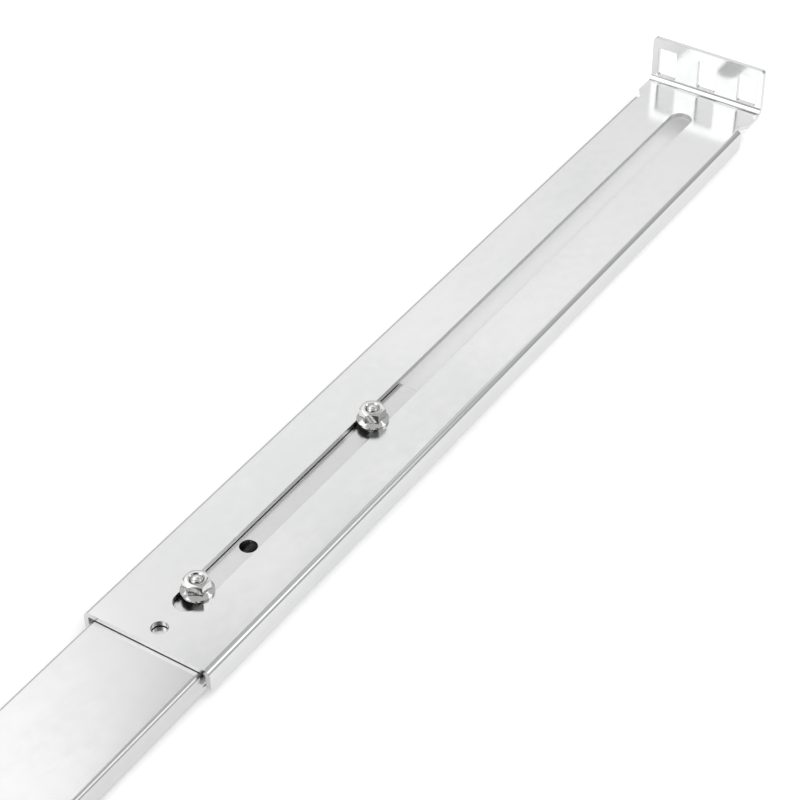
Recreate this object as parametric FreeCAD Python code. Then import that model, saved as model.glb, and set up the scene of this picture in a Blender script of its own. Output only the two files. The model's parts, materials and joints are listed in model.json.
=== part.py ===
"""Sliding server rail pair: two thin three-section ball-bearing slides with rack brackets.

Frame, in millimetres: +X runs towards the rear posts of the rack and +Z is up. The origin is the middle of the
pair, on the surface that both rails lie on. The left rail lies on the +Y side and the right rail is its mirror
image. Each rail rests on the chassis face of its inner member, with its brackets on top.

A slide's section is drawn by "across", outward from its centre line, and "depth", from its back downward.
Each bent sheet is drawn as its web and the stretches of its edges, which meet face to face along the bends'
tangent lines, so that each solid stays close to its own convex hull.
"""

import FreeCAD, Part
import math
import os
from typing import NamedTuple

Vector = FreeCAD.Vector

# ---- Slide ---------------------------------------------------------------------------------------------------
SLIDE_LENGTH = 508.0  # outer member, 20 inches
SLIDE_WIDTH = 38.4  # over the bulges of the outer races
SLIDE_DEPTH = 10.0  # back of the outer member to the chassis face
RAIL_SPACING = 220.0  # between the centre lines of the two rails as they lie
STAGE_TRAVEL = 254.0  # of the middle member in the outer, and of the inner in the middle

OUTER_SHEET = 1.2
MIDDLE_SHEET = 1.0
INNER_SHEET = 1.0
RETAINER_SHEET = 0.4

BALL_DIAMETER = 3.0
BALL_PLAY = 0.3  # between a ball and its race
BALL_SIDES = 8  # flats around a ball, which is drawn with flat faces to keep the assembly light
OUTER_BALL_DEPTH = 6.0
OUTER_LIP_ANGLE = 42.0  # how far the outer race wraps under the ball
NECK_ANGLE = 25.0  # where the outer race leaves the ball for the wall
NECK_RADIUS = 0.9
CORNER_RADIUS = 0.9
MIDDLE_LIP_ANGLE = 45.0
INNER_LIP_ANGLE = 15.0
INNER_NECK_ANGLE = 55.0
INNER_CORNER_RADIUS = 1.0
WEB_GAP = 0.8  # between the webs of the outer and middle members, for the ball retainer

# ---- Ball retainers ------------------------------------------------------------------------------------------
RETAINER_LENGTH = 205.0
RETAINER_LEAD = 20.0  # left in front of a retainer at full travel
RETAINER_GAP = 0.3  # between the inner retainer and the web of the middle member
RETAINER_LEG_REACH = 2.1  # of a leg past the centres of its balls
POCKET_PLAY = 0.15
BALL_COUNT = 5  # in each of a retainer's two rows
BALL_END_MARGIN = 8.0
RETAINER_WINDOWS = 3
RETAINER_RIB = 14.0  # cross strips between the windows of a retainer's web
RETAINER_RAIL = 3.0  # strip of web left beside a leg

# ---- Lengths inside the slide --------------------------------------------------------------------------------
MIDDLE_SHORTER = 14.0  # middle member, less than the outer
INNER_FRONT_REACH = 4.0  # of the inner member, ahead of the outer
INNER_SHORTER = 30.0  # rear end of the inner member, ahead of the outer's
STOP_GAP = 0.3  # between a bumper and the member that it stops
OUTER_BUMPER_LENGTH = 10.0
MIDDLE_BUMPER_LENGTH = 8.0
BUMPER_HOLLOW = 2.0  # wall left around a bumper's hollow
OUTER_SCREW_HOLE = 5.3
SCREW_HOLE_FROM_REAR = 83.7
ACCESS_HOLE = 10.0  # in the middle member, over the screw hole of the outer

# ---- Chassis side --------------------------------------------------------------------------------------------
CHASSIS_HOLE = 4.5
CHASSIS_HOLE_FIRST = 60.0  # from the front end of the inner member
CHASSIS_HOLE_PITCH = 360.0
CHASSIS_HOLES = 2

# ---- Release lever -------------------------------------------------------------------------------------------
LEVER_THICKNESS = 3.0
LEVER_GAP = 0.3  # between the lever and the web of the inner member
LEVER_HUB = 5.0  # radius
LEVER_ARM_WIDTH = 4.5
LEVER_FINGER_LENGTH = 26.0  # from the pivot to the finger pad's centre
LEVER_FINGER_RADIUS = 5.5
LEVER_HOOK_LENGTH = 34.0  # from the pivot to the hook's face
LEVER_HOOK_THICKNESS = 4.0
LEVER_HOOK_DROP = 1.7  # how far the hook reaches past the lever, toward the web of the middle member
LEVER_ARM_OFFSET = 5.3  # across, of the hook and the stop tab
SPRING_ARM = 1.0
SPRING_ARM_LENGTH = 20.0
RIVET_DIAMETER = 4.0
RIVET_HEAD = 6.5
RIVET_HEAD_HEIGHT = 0.8
STOP_TAB_FROM_FRONT = 12.0
STOP_TAB_WIDTH = 3.0
STOP_TAB_HEIGHT = 2.3
STOP_TAB_GAP = 0.5  # between hook and tab at full travel

# ---- Brackets ------------------------------------------------------------------------------------------------
BRACKET_SHEET = 1.6
BRACKET_WIDTH = 43.2
BRACKET_BEND = 2.0  # outer radius of the channel's bends
FLANGE_HEIGHT = 7.6
FLANGE_CHAMFER = 1.3
BRACKET_RUN_GAP = 0.3  # between the rear bracket and the slide that it moves along
REAR_CHANNEL_LENGTH = 309.0
REAR_OVERLAP = 130.5  # of the slide inside the rear channel
SLOT_WIDTH = 7.9
SLOT_FRONT_MARGIN = 14.4
SLOT_REAR_MARGIN = 0.9
TOOL_HOLE = 5.0
TOOL_HOLE_MARGIN = 6.2

TAB_LENGTH = 13.7  # from the channel's end to the near face of the ear
TAB_NECK_WIDTH = 38.8
TAB_NECK_LENGTH = 2.2
EAR_WIDTH = 43.8
EAR_HEIGHT = 17.0  # above the top of the channel
EAR_BEND = 1.5  # inner radius
EAR_CORNER = 1.5
EAR_HOLE_WIDTH = 7.2
EAR_HOLE_HEIGHT = 11.1
EAR_HOLE_RAISE = 2.1
EAR_HOLES = 3
RACK_HOLE_PITCH = 15.875  # 5/8 inch, the hole pitch of a 19-inch rack

FRONT_CHANNEL_LENGTH = 74.0
FRONT_EAR_REACH = 6.0  # outer face of the front ear, ahead of the slide
FRONT_SLOT_PLAY = 2.0  # left past each front stud's place for adjustment

# ---- Studs and nuts ------------------------------------------------------------------------------------------
STUD_DIAMETER = 4.0
STUD_TIP = 0.6  # of the stud above its nut
FIT = 0.05  # of a rivet in its hole and under its head, and of a nut around its stud
REAR_STUD_FROM_END = 20.7
REAR_STUD_SPACING = 86.6
FRONT_STUD_FROM_END = 20.0
FRONT_STUD_SPACING = 40.0
NUT_ACROSS_FLATS = 7.0
NUT_HEIGHT = 4.65
NUT_FLANGE = 9.8
NUT_FLANGE_HEIGHT = 1.1

# ---- Places that follow from the sizes -----------------------------------------------------------------------
X_AXIS = Vector(1, 0, 0)
Y_AXIS = Vector(0, 1, 0)
Z_AXIS = Vector(0, 0, 1)
ORIGIN = Vector(0, 0, 0)
CUT = 1.0  # how far a cutting solid runs past the faces that it cuts
EXACT = 1e-6  # slack when places and directions are compared
SIDES = (-1, 1)

FRONT_REACH = max(FRONT_EAR_REACH, INNER_FRONT_REACH)
REAR_REACH = REAR_CHANNEL_LENGTH + TAB_LENGTH + BRACKET_SHEET - REAR_OVERLAP
SLIDE_FRONT = FRONT_REACH - (FRONT_REACH + SLIDE_LENGTH + REAR_REACH) / 2
SLIDE_REAR = SLIDE_FRONT + SLIDE_LENGTH
MOUTH = SLIDE_REAR - REAR_OVERLAP  # front end of the rear bracket

BALL_RADIUS = BALL_DIAMETER / 2
RACE_RADIUS = BALL_RADIUS + BALL_PLAY
OUTER_RACE = RACE_RADIUS + OUTER_SHEET / 2  # to the middle of the sheet, as the next two
MIDDLE_RACE = RACE_RADIUS + MIDDLE_SHEET / 2
INNER_RACE = RACE_RADIUS + INNER_SHEET / 2

OUTER_BALL_ACROSS = SLIDE_WIDTH / 2 - OUTER_SHEET - RACE_RADIUS
MIDDLE_WEB_DEPTH = OUTER_SHEET + WEB_GAP + MIDDLE_SHEET / 2
INNER_BALL_DEPTH = MIDDLE_WEB_DEPTH + MIDDLE_RACE
BALL_LINE_ANGLE = math.degrees(math.asin((OUTER_BALL_DEPTH - INNER_BALL_DEPTH) / (2 * MIDDLE_RACE)))
INNER_BALL_ACROSS = OUTER_BALL_ACROSS - 2 * MIDDLE_RACE * math.cos(math.radians(BALL_LINE_ANGLE))
INNER_WEB_DEPTH = SLIDE_DEPTH - INNER_SHEET / 2

MIDDLE_FRONT = SLIDE_FRONT
MIDDLE_REAR = SLIDE_REAR - MIDDLE_SHORTER
INNER_FRONT = SLIDE_FRONT - INNER_FRONT_REACH
INNER_REAR = SLIDE_REAR - INNER_SHORTER
RETAINER_FRONT = SLIDE_FRONT + RETAINER_LEAD + STAGE_TRAVEL / 2

STOP_TAB_FRONT = MIDDLE_FRONT + STOP_TAB_FROM_FRONT
LEVER_HOOK_FACE = STOP_TAB_FRONT + MIDDLE_SHEET + STOP_TAB_GAP + STAGE_TRAVEL
LEVER_PIVOT = LEVER_HOOK_FACE - LEVER_HOOK_LENGTH
LEVER_FAR_DEPTH = SLIDE_DEPTH - INNER_SHEET - LEVER_GAP
LEVER_NEAR_DEPTH = LEVER_FAR_DEPTH - LEVER_THICKNESS

SCREW_PLACE = SLIDE_REAR - SCREW_HOLE_FROM_REAR
REAR_STUDS = (SLIDE_REAR - REAR_STUD_FROM_END - REAR_STUD_SPACING, SLIDE_REAR - REAR_STUD_FROM_END)
FRONT_STUDS = (SLIDE_FRONT + FRONT_STUD_FROM_END, SLIDE_FRONT + FRONT_STUD_FROM_END + FRONT_STUD_SPACING)


class Line(NamedTuple):
    """A straight stretch of a section's centre line, by its (across, depth) ends."""

    start: tuple
    end: tuple


class Arc(NamedTuple):
    """A round stretch of a section's centre line. Angles turn from across toward depth."""

    centre: tuple
    radius: float
    start: float
    end: float

    def point(self, angle, radius=None):
        """The (across, depth) point at an angle, on the arc or at another radius."""
        size = self.radius if radius is None else radius
        turn = math.radians(angle)
        return (self.centre[0] + size * math.cos(turn), self.centre[1] + size * math.sin(turn))


def flat(half_width, depth):
    """The centre line of a flat web."""
    return [Line((-half_width, depth), (half_width, depth))]


def section_point(point):
    """The place in space of an (across, depth) point of a slide's section."""
    return Vector(0, point[0], SLIDE_DEPTH - point[1])


def offset_edge(stretch, offset):
    """One face of the sheet along a stretch of its centre line, offset to its left."""
    if isinstance(stretch, Line):
        run = math.dist(stretch.start, stretch.end)
        step = [(b - a) * offset / run for a, b in zip(stretch.start, stretch.end)]
        ends = [(p[0] - step[1], p[1] + step[0]) for p in (stretch.start, stretch.end)]
        return Part.makeLine(section_point(ends[0]), section_point(ends[1]))
    turn = 1 if stretch.end > stretch.start else -1
    radius = stretch.radius - turn * offset
    angles = (stretch.start, (stretch.start + stretch.end) / 2, stretch.end)
    return Part.Arc(*[section_point(stretch.point(a, radius)) for a in angles]).toShape()


def strip(path, sheet):
    """The face of a bent sheet along a centre line of tangent stretches."""
    left = [offset_edge(stretch, sheet / 2) for stretch in path]
    right = [offset_edge(stretch, -sheet / 2) for stretch in path]
    caps = [
        Part.makeLine(left[i].valueAt(p), right[i].valueAt(q))
        for i, p, q in (
            (0, left[0].FirstParameter, right[0].FirstParameter),
            (-1, left[-1].LastParameter, right[-1].LastParameter),
        )
    ]
    return Part.Face(Part.Wire(Part.__sortEdges__(left + right + caps)))


def roll_formed(section, sheet, front, length):
    """The web of a straight bent member, and the solids on both sides of it.

    The section lists the centre line of the web, then those of the stretches of one side, from the web outward.
    """
    pieces = [strip(path, sheet).extrude(X_AXIS * length) for path in section]
    for piece in pieces:
        piece.translate(X_AXIS * front)
    web, *side = pieces
    return web, side + [piece.mirror(ORIGIN, Y_AXIS) for piece in side]


def holed(web, holes):
    """The solids of a web once its holes are cut."""
    return web.cut(holes).Solids


def depth_range(near, far):
    """The (low, high) heights of a stretch of a slide's depth."""
    return SLIDE_DEPTH - far, SLIDE_DEPTH - near


def block(x_range, y_range, z_range):
    """A box between three pairs of limits."""
    low, high = zip(x_range, y_range, z_range)
    size = [b - a for a, b in zip(low, high)]
    return Part.makeBox(*size, Vector(*low))


def upright(x, y, z_range, radius):
    """A cylinder standing at a place, between two heights."""
    return Part.makeCylinder(radius, z_range[1] - z_range[0], Vector(x, y, z_range[0]))


def long_hole(x_range, z_range, width):
    """A slot with round ends along the centre line of a rail."""
    radius = width / 2
    ends = [upright(x, 0, z_range, radius) for x in (x_range[0] + radius, x_range[1] - radius)]
    middle = block((x_range[0] + radius, x_range[1] - radius), (-radius, radius), z_range)
    return middle.multiFuse(ends).removeSplitter()


def edges_along(shape, axis, test):
    """The straight edges of a shape that run along an axis and whose middle passes a test."""
    chosen = []
    for edge in shape.Edges:
        if not isinstance(edge.Curve, Part.Line):
            continue
        if abs(edge.Curve.Direction.dot(axis)) > 1 - EXACT and test(edge.CenterOfMass):
            chosen.append(edge)
    return chosen


# ---- Slide members -------------------------------------------------------------------------------------------
def outer_section():
    """The outer member: web, then the corner, wall and neck, and the race around the outer ball."""
    ball = (OUTER_BALL_ACROSS, OUTER_BALL_DEPTH)
    race = Arc(ball, OUTER_RACE, -NECK_ANGLE, OUTER_LIP_ANGLE)
    neck_centre = race.point(-NECK_ANGLE, OUTER_RACE + NECK_RADIUS)
    wall = neck_centre[0] - NECK_RADIUS
    web_depth = OUTER_SHEET / 2
    corner_centre = (wall - CORNER_RADIUS, web_depth + CORNER_RADIUS)
    side = [
        Arc(corner_centre, CORNER_RADIUS, -90, 0),
        Line((wall, corner_centre[1]), (wall, neck_centre[1])),
        Arc(neck_centre, NECK_RADIUS, 180, 180 - NECK_ANGLE),
    ]
    return [flat(corner_centre[0], web_depth), side, [race]]


def outer_member():
    """The cabinet member, with the screw hole between the rear studs."""
    web, sides = roll_formed(outer_section(), OUTER_SHEET, SLIDE_FRONT, SLIDE_LENGTH)
    hole = upright(SCREW_PLACE, 0, depth_range(-CUT, OUTER_SHEET + CUT), OUTER_SCREW_HOLE / 2)
    return Part.makeCompound(holed(web, [hole]) + sides)


def middle_section():
    """The middle member: web, then the two halves of an S between the inner and the outer ball."""
    inner_ball = (INNER_BALL_ACROSS, INNER_BALL_DEPTH)
    outer_ball = (OUTER_BALL_ACROSS, OUTER_BALL_DEPTH)
    return [
        flat(INNER_BALL_ACROSS, MIDDLE_WEB_DEPTH),
        [Arc(inner_ball, MIDDLE_RACE, -90, BALL_LINE_ANGLE)],
        [Arc(outer_ball, MIDDLE_RACE, 180 + BALL_LINE_ANGLE, 180 - MIDDLE_LIP_ANGLE)],
    ]


def middle_member():
    """The intermediate member, with a screwdriver hole and the tab that stops the release lever."""
    web, sides = roll_formed(middle_section(), MIDDLE_SHEET, MIDDLE_FRONT, MIDDLE_REAR - MIDDLE_FRONT)
    near = MIDDLE_WEB_DEPTH - MIDDLE_SHEET / 2
    far = MIDDLE_WEB_DEPTH + MIDDLE_SHEET / 2
    through = depth_range(near - CUT, far + CUT)
    tab_y = (LEVER_ARM_OFFSET - STOP_TAB_WIDTH / 2, LEVER_ARM_OFFSET + STOP_TAB_WIDTH / 2)
    tab_x = (STOP_TAB_FRONT, STOP_TAB_FRONT + MIDDLE_SHEET)
    window_x = (tab_x[1], tab_x[1] + STOP_TAB_HEIGHT)
    window = block(window_x, tab_y, through)
    tab = block(tab_x, tab_y, depth_range(far, far + STOP_TAB_HEIGHT))
    access = upright(SCREW_PLACE, 0, through, ACCESS_HOLE / 2)
    return Part.makeCompound(holed(web, [window, access]) + [tab] + sides)


def inner_section():
    """The inner member: chassis web, then the corner, wall and neck, and the groove of the inner ball."""
    ball = (INNER_BALL_ACROSS, INNER_BALL_DEPTH)
    groove = Arc(ball, INNER_RACE, 180 - INNER_NECK_ANGLE, 180 + INNER_LIP_ANGLE)
    neck_centre = groove.point(180 - INNER_NECK_ANGLE, INNER_RACE + NECK_RADIUS)
    wall = neck_centre[0] + NECK_RADIUS
    corner_centre = (wall - INNER_CORNER_RADIUS, INNER_WEB_DEPTH - INNER_CORNER_RADIUS)
    side = [
        Arc(corner_centre, INNER_CORNER_RADIUS, 90, 0),
        Line((wall, corner_centre[1]), (wall, neck_centre[1])),
        Arc(neck_centre, NECK_RADIUS, 0, -INNER_NECK_ANGLE),
    ]
    return [flat(corner_centre[0], INNER_WEB_DEPTH), side, [groove]]


def inner_member():
    """The chassis member, with its screw holes and the hole of the lever's rivet."""
    web, sides = roll_formed(inner_section(), INNER_SHEET, INNER_FRONT, INNER_REAR - INNER_FRONT)
    through = depth_range(INNER_WEB_DEPTH - CUT, SLIDE_DEPTH + CUT)
    first = INNER_FRONT + CHASSIS_HOLE_FIRST
    places = [first + i * CHASSIS_HOLE_PITCH for i in range(CHASSIS_HOLES)]
    holes = [upright(x, 0, through, CHASSIS_HOLE / 2) for x in places]
    holes.append(upright(LEVER_PIVOT, 0, through, RIVET_DIAMETER / 2 + FIT))
    return Part.makeCompound(holed(web, holes) + sides)


# ---- Balls and their retainers -------------------------------------------------------------------------------
def ball_stations():
    """Where the balls lie along the slide at rest."""
    first = RETAINER_FRONT + BALL_END_MARGIN
    pitch = (RETAINER_LENGTH - 2 * BALL_END_MARGIN) / (BALL_COUNT - 1)
    return [first + i * pitch for i in range(BALL_COUNT)]


def ball(centre):
    """A ball with flat faces: rings of corners on its sphere, joined by straight bands."""
    step = 2 * math.pi / BALL_SIDES
    rings = []
    for i in range(BALL_SIDES // 2):
        latitude = step / 2 - math.pi / 2 + i * step
        radius = BALL_RADIUS * math.cos(latitude)
        height = BALL_RADIUS * math.sin(latitude)
        turns = [j * step for j in range(BALL_SIDES + 1)]
        rings.append([centre + Vector(radius * math.cos(a), radius * math.sin(a), height) for a in turns])
    faces = [Part.Face(Part.makePolygon(ring)) for ring in (rings[0], rings[-1])]
    for low, high in zip(rings, rings[1:]):
        for j in range(BALL_SIDES):
            corners = [low[j], low[j + 1], high[j + 1], high[j], low[j]]
            faces.append(Part.Face(Part.makePolygon(corners)))
    return Part.Solid(Part.Shell(faces))


def ball_rows(across, depth):
    """Both rows of balls of one retainer, as separate solids."""
    height = SLIDE_DEPTH - depth
    centres = [Vector(x, side * across, height) for x in ball_stations() for side in SIDES]
    return Part.makeCompound([ball(centre) for centre in centres])


def ball_retainer(across, ball_depth, web_depth):
    """A U-shaped strip with a pocket for each ball and windows in its web."""
    half_sheet = RETAINER_SHEET / 2
    x_range = (RETAINER_FRONT, RETAINER_FRONT + RETAINER_LENGTH)
    outside = across + half_sheet
    inside = across - half_sheet
    near = web_depth - half_sheet
    leg_end = ball_depth + RETAINER_LEG_REACH
    body = block(x_range, (-outside, outside), depth_range(near, leg_end))
    body = body.cut(block(x_range, (-inside, inside), depth_range(near + RETAINER_SHEET, leg_end)))
    reach = across + CUT
    pocket = BALL_RADIUS + POCKET_PLAY
    pocket_depths = depth_range(ball_depth - pocket, ball_depth + pocket)
    pockets = [block((x - pocket, x + pocket), (-reach, reach), pocket_depths) for x in ball_stations()]
    web = depth_range(near - CUT, near + RETAINER_SHEET + CUT)
    half = inside - RETAINER_RAIL
    step = (RETAINER_LENGTH - RETAINER_RIB) / RETAINER_WINDOWS
    starts = [RETAINER_FRONT + RETAINER_RIB + i * step for i in range(RETAINER_WINDOWS)]
    windows = [block((x, x + step - RETAINER_RIB), (-half, half), web) for x in starts]
    return body.cut(pockets + windows)


def outer_ball_retainer():
    """The retainer between the outer and middle members, its web midway between theirs."""
    return ball_retainer(OUTER_BALL_ACROSS, OUTER_BALL_DEPTH, OUTER_SHEET + WEB_GAP / 2)


def inner_ball_retainer():
    """The retainer between the middle and inner members, close to the middle member's web."""
    web_depth = MIDDLE_WEB_DEPTH + MIDDLE_SHEET / 2 + RETAINER_GAP + RETAINER_SHEET / 2
    return ball_retainer(INNER_BALL_ACROSS, INNER_BALL_DEPTH, web_depth)


# ---- Bumpers -------------------------------------------------------------------------------------------------
def bumper(front, length, half_width, depths):
    """A moulded stop with a hollow that opens to the rear."""
    body = block((front, front + length), (-half_width, half_width), depths)
    hollow = block(
        (front + BUMPER_HOLLOW, front + length + CUT),
        (-half_width + BUMPER_HOLLOW, half_width - BUMPER_HOLLOW),
        (depths[0] + BUMPER_HOLLOW, depths[1] - BUMPER_HOLLOW),
    )
    rounded = edges_along(body, Z_AXIS, lambda middle: middle.x < front + length / 2)
    return body.makeFillet(BUMPER_HOLLOW, rounded).cut(hollow)


def rear_bumper():
    """The stop in the rear end of the outer member, as wide as the flat of its web."""
    web = outer_section()[0][0]
    depths = depth_range(OUTER_SHEET, INNER_WEB_DEPTH - INNER_SHEET)
    return bumper(MIDDLE_REAR + STOP_GAP, OUTER_BUMPER_LENGTH, web.end[0], depths)


def middle_bumper():
    """The stop in the rear end of the middle member, on its web."""
    web = MIDDLE_WEB_DEPTH + MIDDLE_SHEET / 2
    half_width = INNER_BALL_ACROSS - INNER_RACE
    depths = depth_range(web, INNER_WEB_DEPTH)
    return bumper(INNER_REAR + STOP_GAP, MIDDLE_BUMPER_LENGTH, half_width, depths)


# ---- Release lever -------------------------------------------------------------------------------------------
def release_lever():
    """The moulded lever: hub, finger pad, hooked arm and the thin arm that springs it back."""
    depths = depth_range(LEVER_NEAR_DEPTH, LEVER_FAR_DEPTH)
    finger = LEVER_PIVOT - LEVER_FINGER_LENGTH
    hub = upright(LEVER_PIVOT, 0, depths, LEVER_HUB)
    pad = upright(finger, 0, depths, LEVER_FINGER_RADIUS)
    front_arm = block((finger, LEVER_PIVOT), (-LEVER_ARM_WIDTH / 2, LEVER_ARM_WIDTH / 2), depths)
    hook_y = (LEVER_ARM_OFFSET - LEVER_ARM_WIDTH / 2, LEVER_ARM_OFFSET + LEVER_ARM_WIDTH / 2)
    hook_x = (LEVER_HOOK_FACE, LEVER_HOOK_FACE + LEVER_HOOK_THICKNESS)
    rear_arm = block((LEVER_PIVOT, hook_x[1]), hook_y, depths)
    hook = block(hook_x, hook_y, (depths[0], depths[1] + LEVER_HOOK_DROP))
    spring = block(
        (LEVER_PIVOT - SPRING_ARM_LENGTH, LEVER_PIVOT),
        (LEVER_HUB - SPRING_ARM, LEVER_HUB),
        depths,
    )
    bore = upright(LEVER_PIVOT, 0, (depths[0] - CUT, depths[1] + CUT), RIVET_DIAMETER / 2 + FIT)
    return hub.multiFuse([pad, front_arm, rear_arm, hook, spring]).cut(bore).removeSplitter()


def lever_rivet():
    """The lever's pivot, flush with the chassis face and headed over the lever."""
    shank = upright(LEVER_PIVOT, 0, depth_range(LEVER_NEAR_DEPTH - FIT, SLIDE_DEPTH), RIVET_DIAMETER / 2)
    head_depth = LEVER_NEAR_DEPTH - FIT
    head = upright(LEVER_PIVOT, 0, depth_range(head_depth - RIVET_HEAD_HEIGHT, head_depth), RIVET_HEAD / 2)
    return shank.fuse(head).removeSplitter()


# ---- Brackets ------------------------------------------------------------------------------------------------
def channel(front, length, underside):
    """The web of a bent channel, and the flange down each side of it."""
    half_width = BRACKET_WIDTH / 2 - BRACKET_SHEET / 2
    depth = SLIDE_DEPTH - underside - BRACKET_SHEET / 2
    bend = BRACKET_BEND - BRACKET_SHEET / 2
    flange_end = SLIDE_DEPTH - underside - BRACKET_SHEET + FLANGE_HEIGHT
    side = [
        Arc((half_width - bend, depth + bend), bend, -90, 0),
        Line((half_width, depth + bend), (half_width, flange_end)),
    ]
    web, flanges = roll_formed([flat(half_width - bend, depth), side], BRACKET_SHEET, front, length)
    bottom = SLIDE_DEPTH - flange_end
    chamfered = []
    for flange in flanges:
        low = edges_along(flange, Y_AXIS, lambda middle: middle.z < bottom + EXACT)
        chamfered += flange.makeChamfer(FLANGE_CHAMFER, low).Solids
    return web, chamfered


def ear(channel_end, facing, underside):
    """The tab beyond a channel's end with its bend, and the ear that stands on it, with the rack's holes."""
    top = underside + BRACKET_SHEET
    bend_start = TAB_LENGTH - EAR_BEND
    neck_half = TAB_NECK_WIDTH / 2
    half = EAR_WIDTH / 2
    flare = half - neck_half
    outline = [
        Vector(0, neck_half, underside),
        Vector(TAB_NECK_LENGTH, neck_half, underside),
        Vector(TAB_NECK_LENGTH + flare, half, underside),
        Vector(bend_start, half, underside),
    ]
    mirrored = [Vector(p.x, -p.y, p.z) for p in reversed(outline)]
    tab = Part.Face(Part.makePolygon(outline + mirrored + outline[:1])).extrude(Z_AXIS * BRACKET_SHEET)
    bend_centre = Vector(bend_start, -half, top + EAR_BEND)
    bend = Part.makeCylinder(EAR_BEND + BRACKET_SHEET, EAR_WIDTH, bend_centre, Y_AXIS)
    bend = bend.cut(Part.makeCylinder(EAR_BEND, EAR_WIDTH, bend_centre, Y_AXIS))
    quarter = block(
        (bend_start, TAB_LENGTH + BRACKET_SHEET), (-half, half), (underside, top + EAR_BEND)
    )
    bend = bend.common(quarter)
    face_x = (TAB_LENGTH, TAB_LENGTH + BRACKET_SHEET)
    plate = block(face_x, (-half, half), (top + EAR_BEND, top + EAR_HEIGHT))
    corners = edges_along(plate, X_AXIS, lambda middle: middle.z > top + EAR_HEIGHT - EXACT)
    plate = plate.makeFillet(EAR_CORNER, corners)
    body = Part.makeCompound(
        tab.fuse(bend).removeSplitter().Solids + holed(plate, [ear_hole(y, top) for y in ear_hole_places()])
    )
    if facing < 0:
        body = body.mirror(ORIGIN, X_AXIS)
    body.translate(X_AXIS * channel_end)
    return body.Solids


def ear_hole_places():
    """Across, the centres of an ear's holes."""
    first = -RACK_HOLE_PITCH * (EAR_HOLES - 1) / 2
    return [first + i * RACK_HOLE_PITCH for i in range(EAR_HOLES)]


def ear_hole(y, top):
    """One rectangular hole through an ear."""
    x_range = (TAB_LENGTH - CUT, TAB_LENGTH + BRACKET_SHEET + CUT)
    y_range = (y - EAR_HOLE_WIDTH / 2, y + EAR_HOLE_WIDTH / 2)
    bottom = top + EAR_HOLE_RAISE
    return block(x_range, y_range, (bottom, bottom + EAR_HOLE_HEIGHT))


def rear_bracket():
    """The adjustable bracket: it slides along the rear studs by its long slot."""
    underside = SLIDE_DEPTH + BRACKET_RUN_GAP
    web, flanges = channel(MOUTH, REAR_CHANNEL_LENGTH, underside)
    end = MOUTH + REAR_CHANNEL_LENGTH
    through = (underside - CUT, underside + BRACKET_SHEET + CUT)
    slot = long_hole((MOUTH + SLOT_FRONT_MARGIN, end - SLOT_REAR_MARGIN), through, SLOT_WIDTH)
    tool_hole = upright(MOUTH + TOOL_HOLE_MARGIN, 0, through, TOOL_HOLE / 2)
    return Part.makeCompound(holed(web, [slot, tool_hole]) + flanges + ear(end, 1, underside))


def front_bracket():
    """The fixed bracket at the front of the slide, with its ear at the front posts."""
    ear_face = SLIDE_FRONT - FRONT_EAR_REACH
    start = ear_face + BRACKET_SHEET + TAB_LENGTH
    web, flanges = channel(start, FRONT_CHANNEL_LENGTH, SLIDE_DEPTH)
    through = (SLIDE_DEPTH - CUT, SLIDE_DEPTH + BRACKET_SHEET + CUT)
    reach = SLOT_WIDTH / 2 + FRONT_SLOT_PLAY
    slot = long_hole((FRONT_STUDS[0] - reach, FRONT_STUDS[1] + reach), through, SLOT_WIDTH)
    return Part.makeCompound(holed(web, [slot]) + flanges + ear(start, -1, SLIDE_DEPTH))


# ---- Studs and nuts ------------------------------------------------------------------------------------------
def weld_stud(x, seat):
    """A stud welded to the back of the outer member, whose tip stands above its nut."""
    return upright(x, 0, (SLIDE_DEPTH, seat + NUT_HEIGHT + STUD_TIP), STUD_DIAMETER / 2)


def flange_nut(x, seat):
    """A hexagon nut with a conical flange, seated at a height."""
    corner = NUT_ACROSS_FLATS / math.sqrt(3)
    sixth = [math.radians(60 * i) for i in range(7)]
    hexagon = Part.makePolygon([Vector(corner * math.cos(a), corner * math.sin(a), 0) for a in sixth])
    body = Part.Face(hexagon).extrude(Z_AXIS * NUT_HEIGHT)
    flange = Part.makeCylinder(NUT_FLANGE / 2, NUT_FLANGE_HEIGHT)
    bore = Part.makeCylinder(STUD_DIAMETER / 2 + FIT, NUT_HEIGHT)
    nut = body.fuse(flange).cut(bore).removeSplitter()
    nut.translate(Vector(x, 0, seat))
    return nut


def stud_seats():
    """Each stud's place along the slide, with the height of the bracket face that its nut sits on."""
    front_seat = SLIDE_DEPTH + BRACKET_SHEET
    rear_seat = front_seat + BRACKET_RUN_GAP
    return [(x, front_seat) for x in FRONT_STUDS] + [(x, rear_seat) for x in REAR_STUDS]


def rail_pieces():
    """Every piece of one rail, on the centre line, by name."""
    return {
        "outer_member": outer_member(),
        "weld_studs": Part.makeCompound([weld_stud(x, seat) for x, seat in stud_seats()]),
        "flange_nuts": Part.makeCompound([flange_nut(x, seat) for x, seat in stud_seats()]),
        "front_bracket": front_bracket(),
        "rear_bracket": rear_bracket(),
        "rear_bumper": rear_bumper(),
        "outer_ball_retainer": outer_ball_retainer(),
        "outer_balls": ball_rows(OUTER_BALL_ACROSS, OUTER_BALL_DEPTH),
        "middle_member": middle_member(),
        "middle_bumper": middle_bumper(),
        "inner_ball_retainer": inner_ball_retainer(),
        "inner_balls": ball_rows(INNER_BALL_ACROSS, INNER_BALL_DEPTH),
        "inner_member": inner_member(),
        "release_lever": release_lever(),
        "lever_rivet": lever_rivet(),
    }


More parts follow.
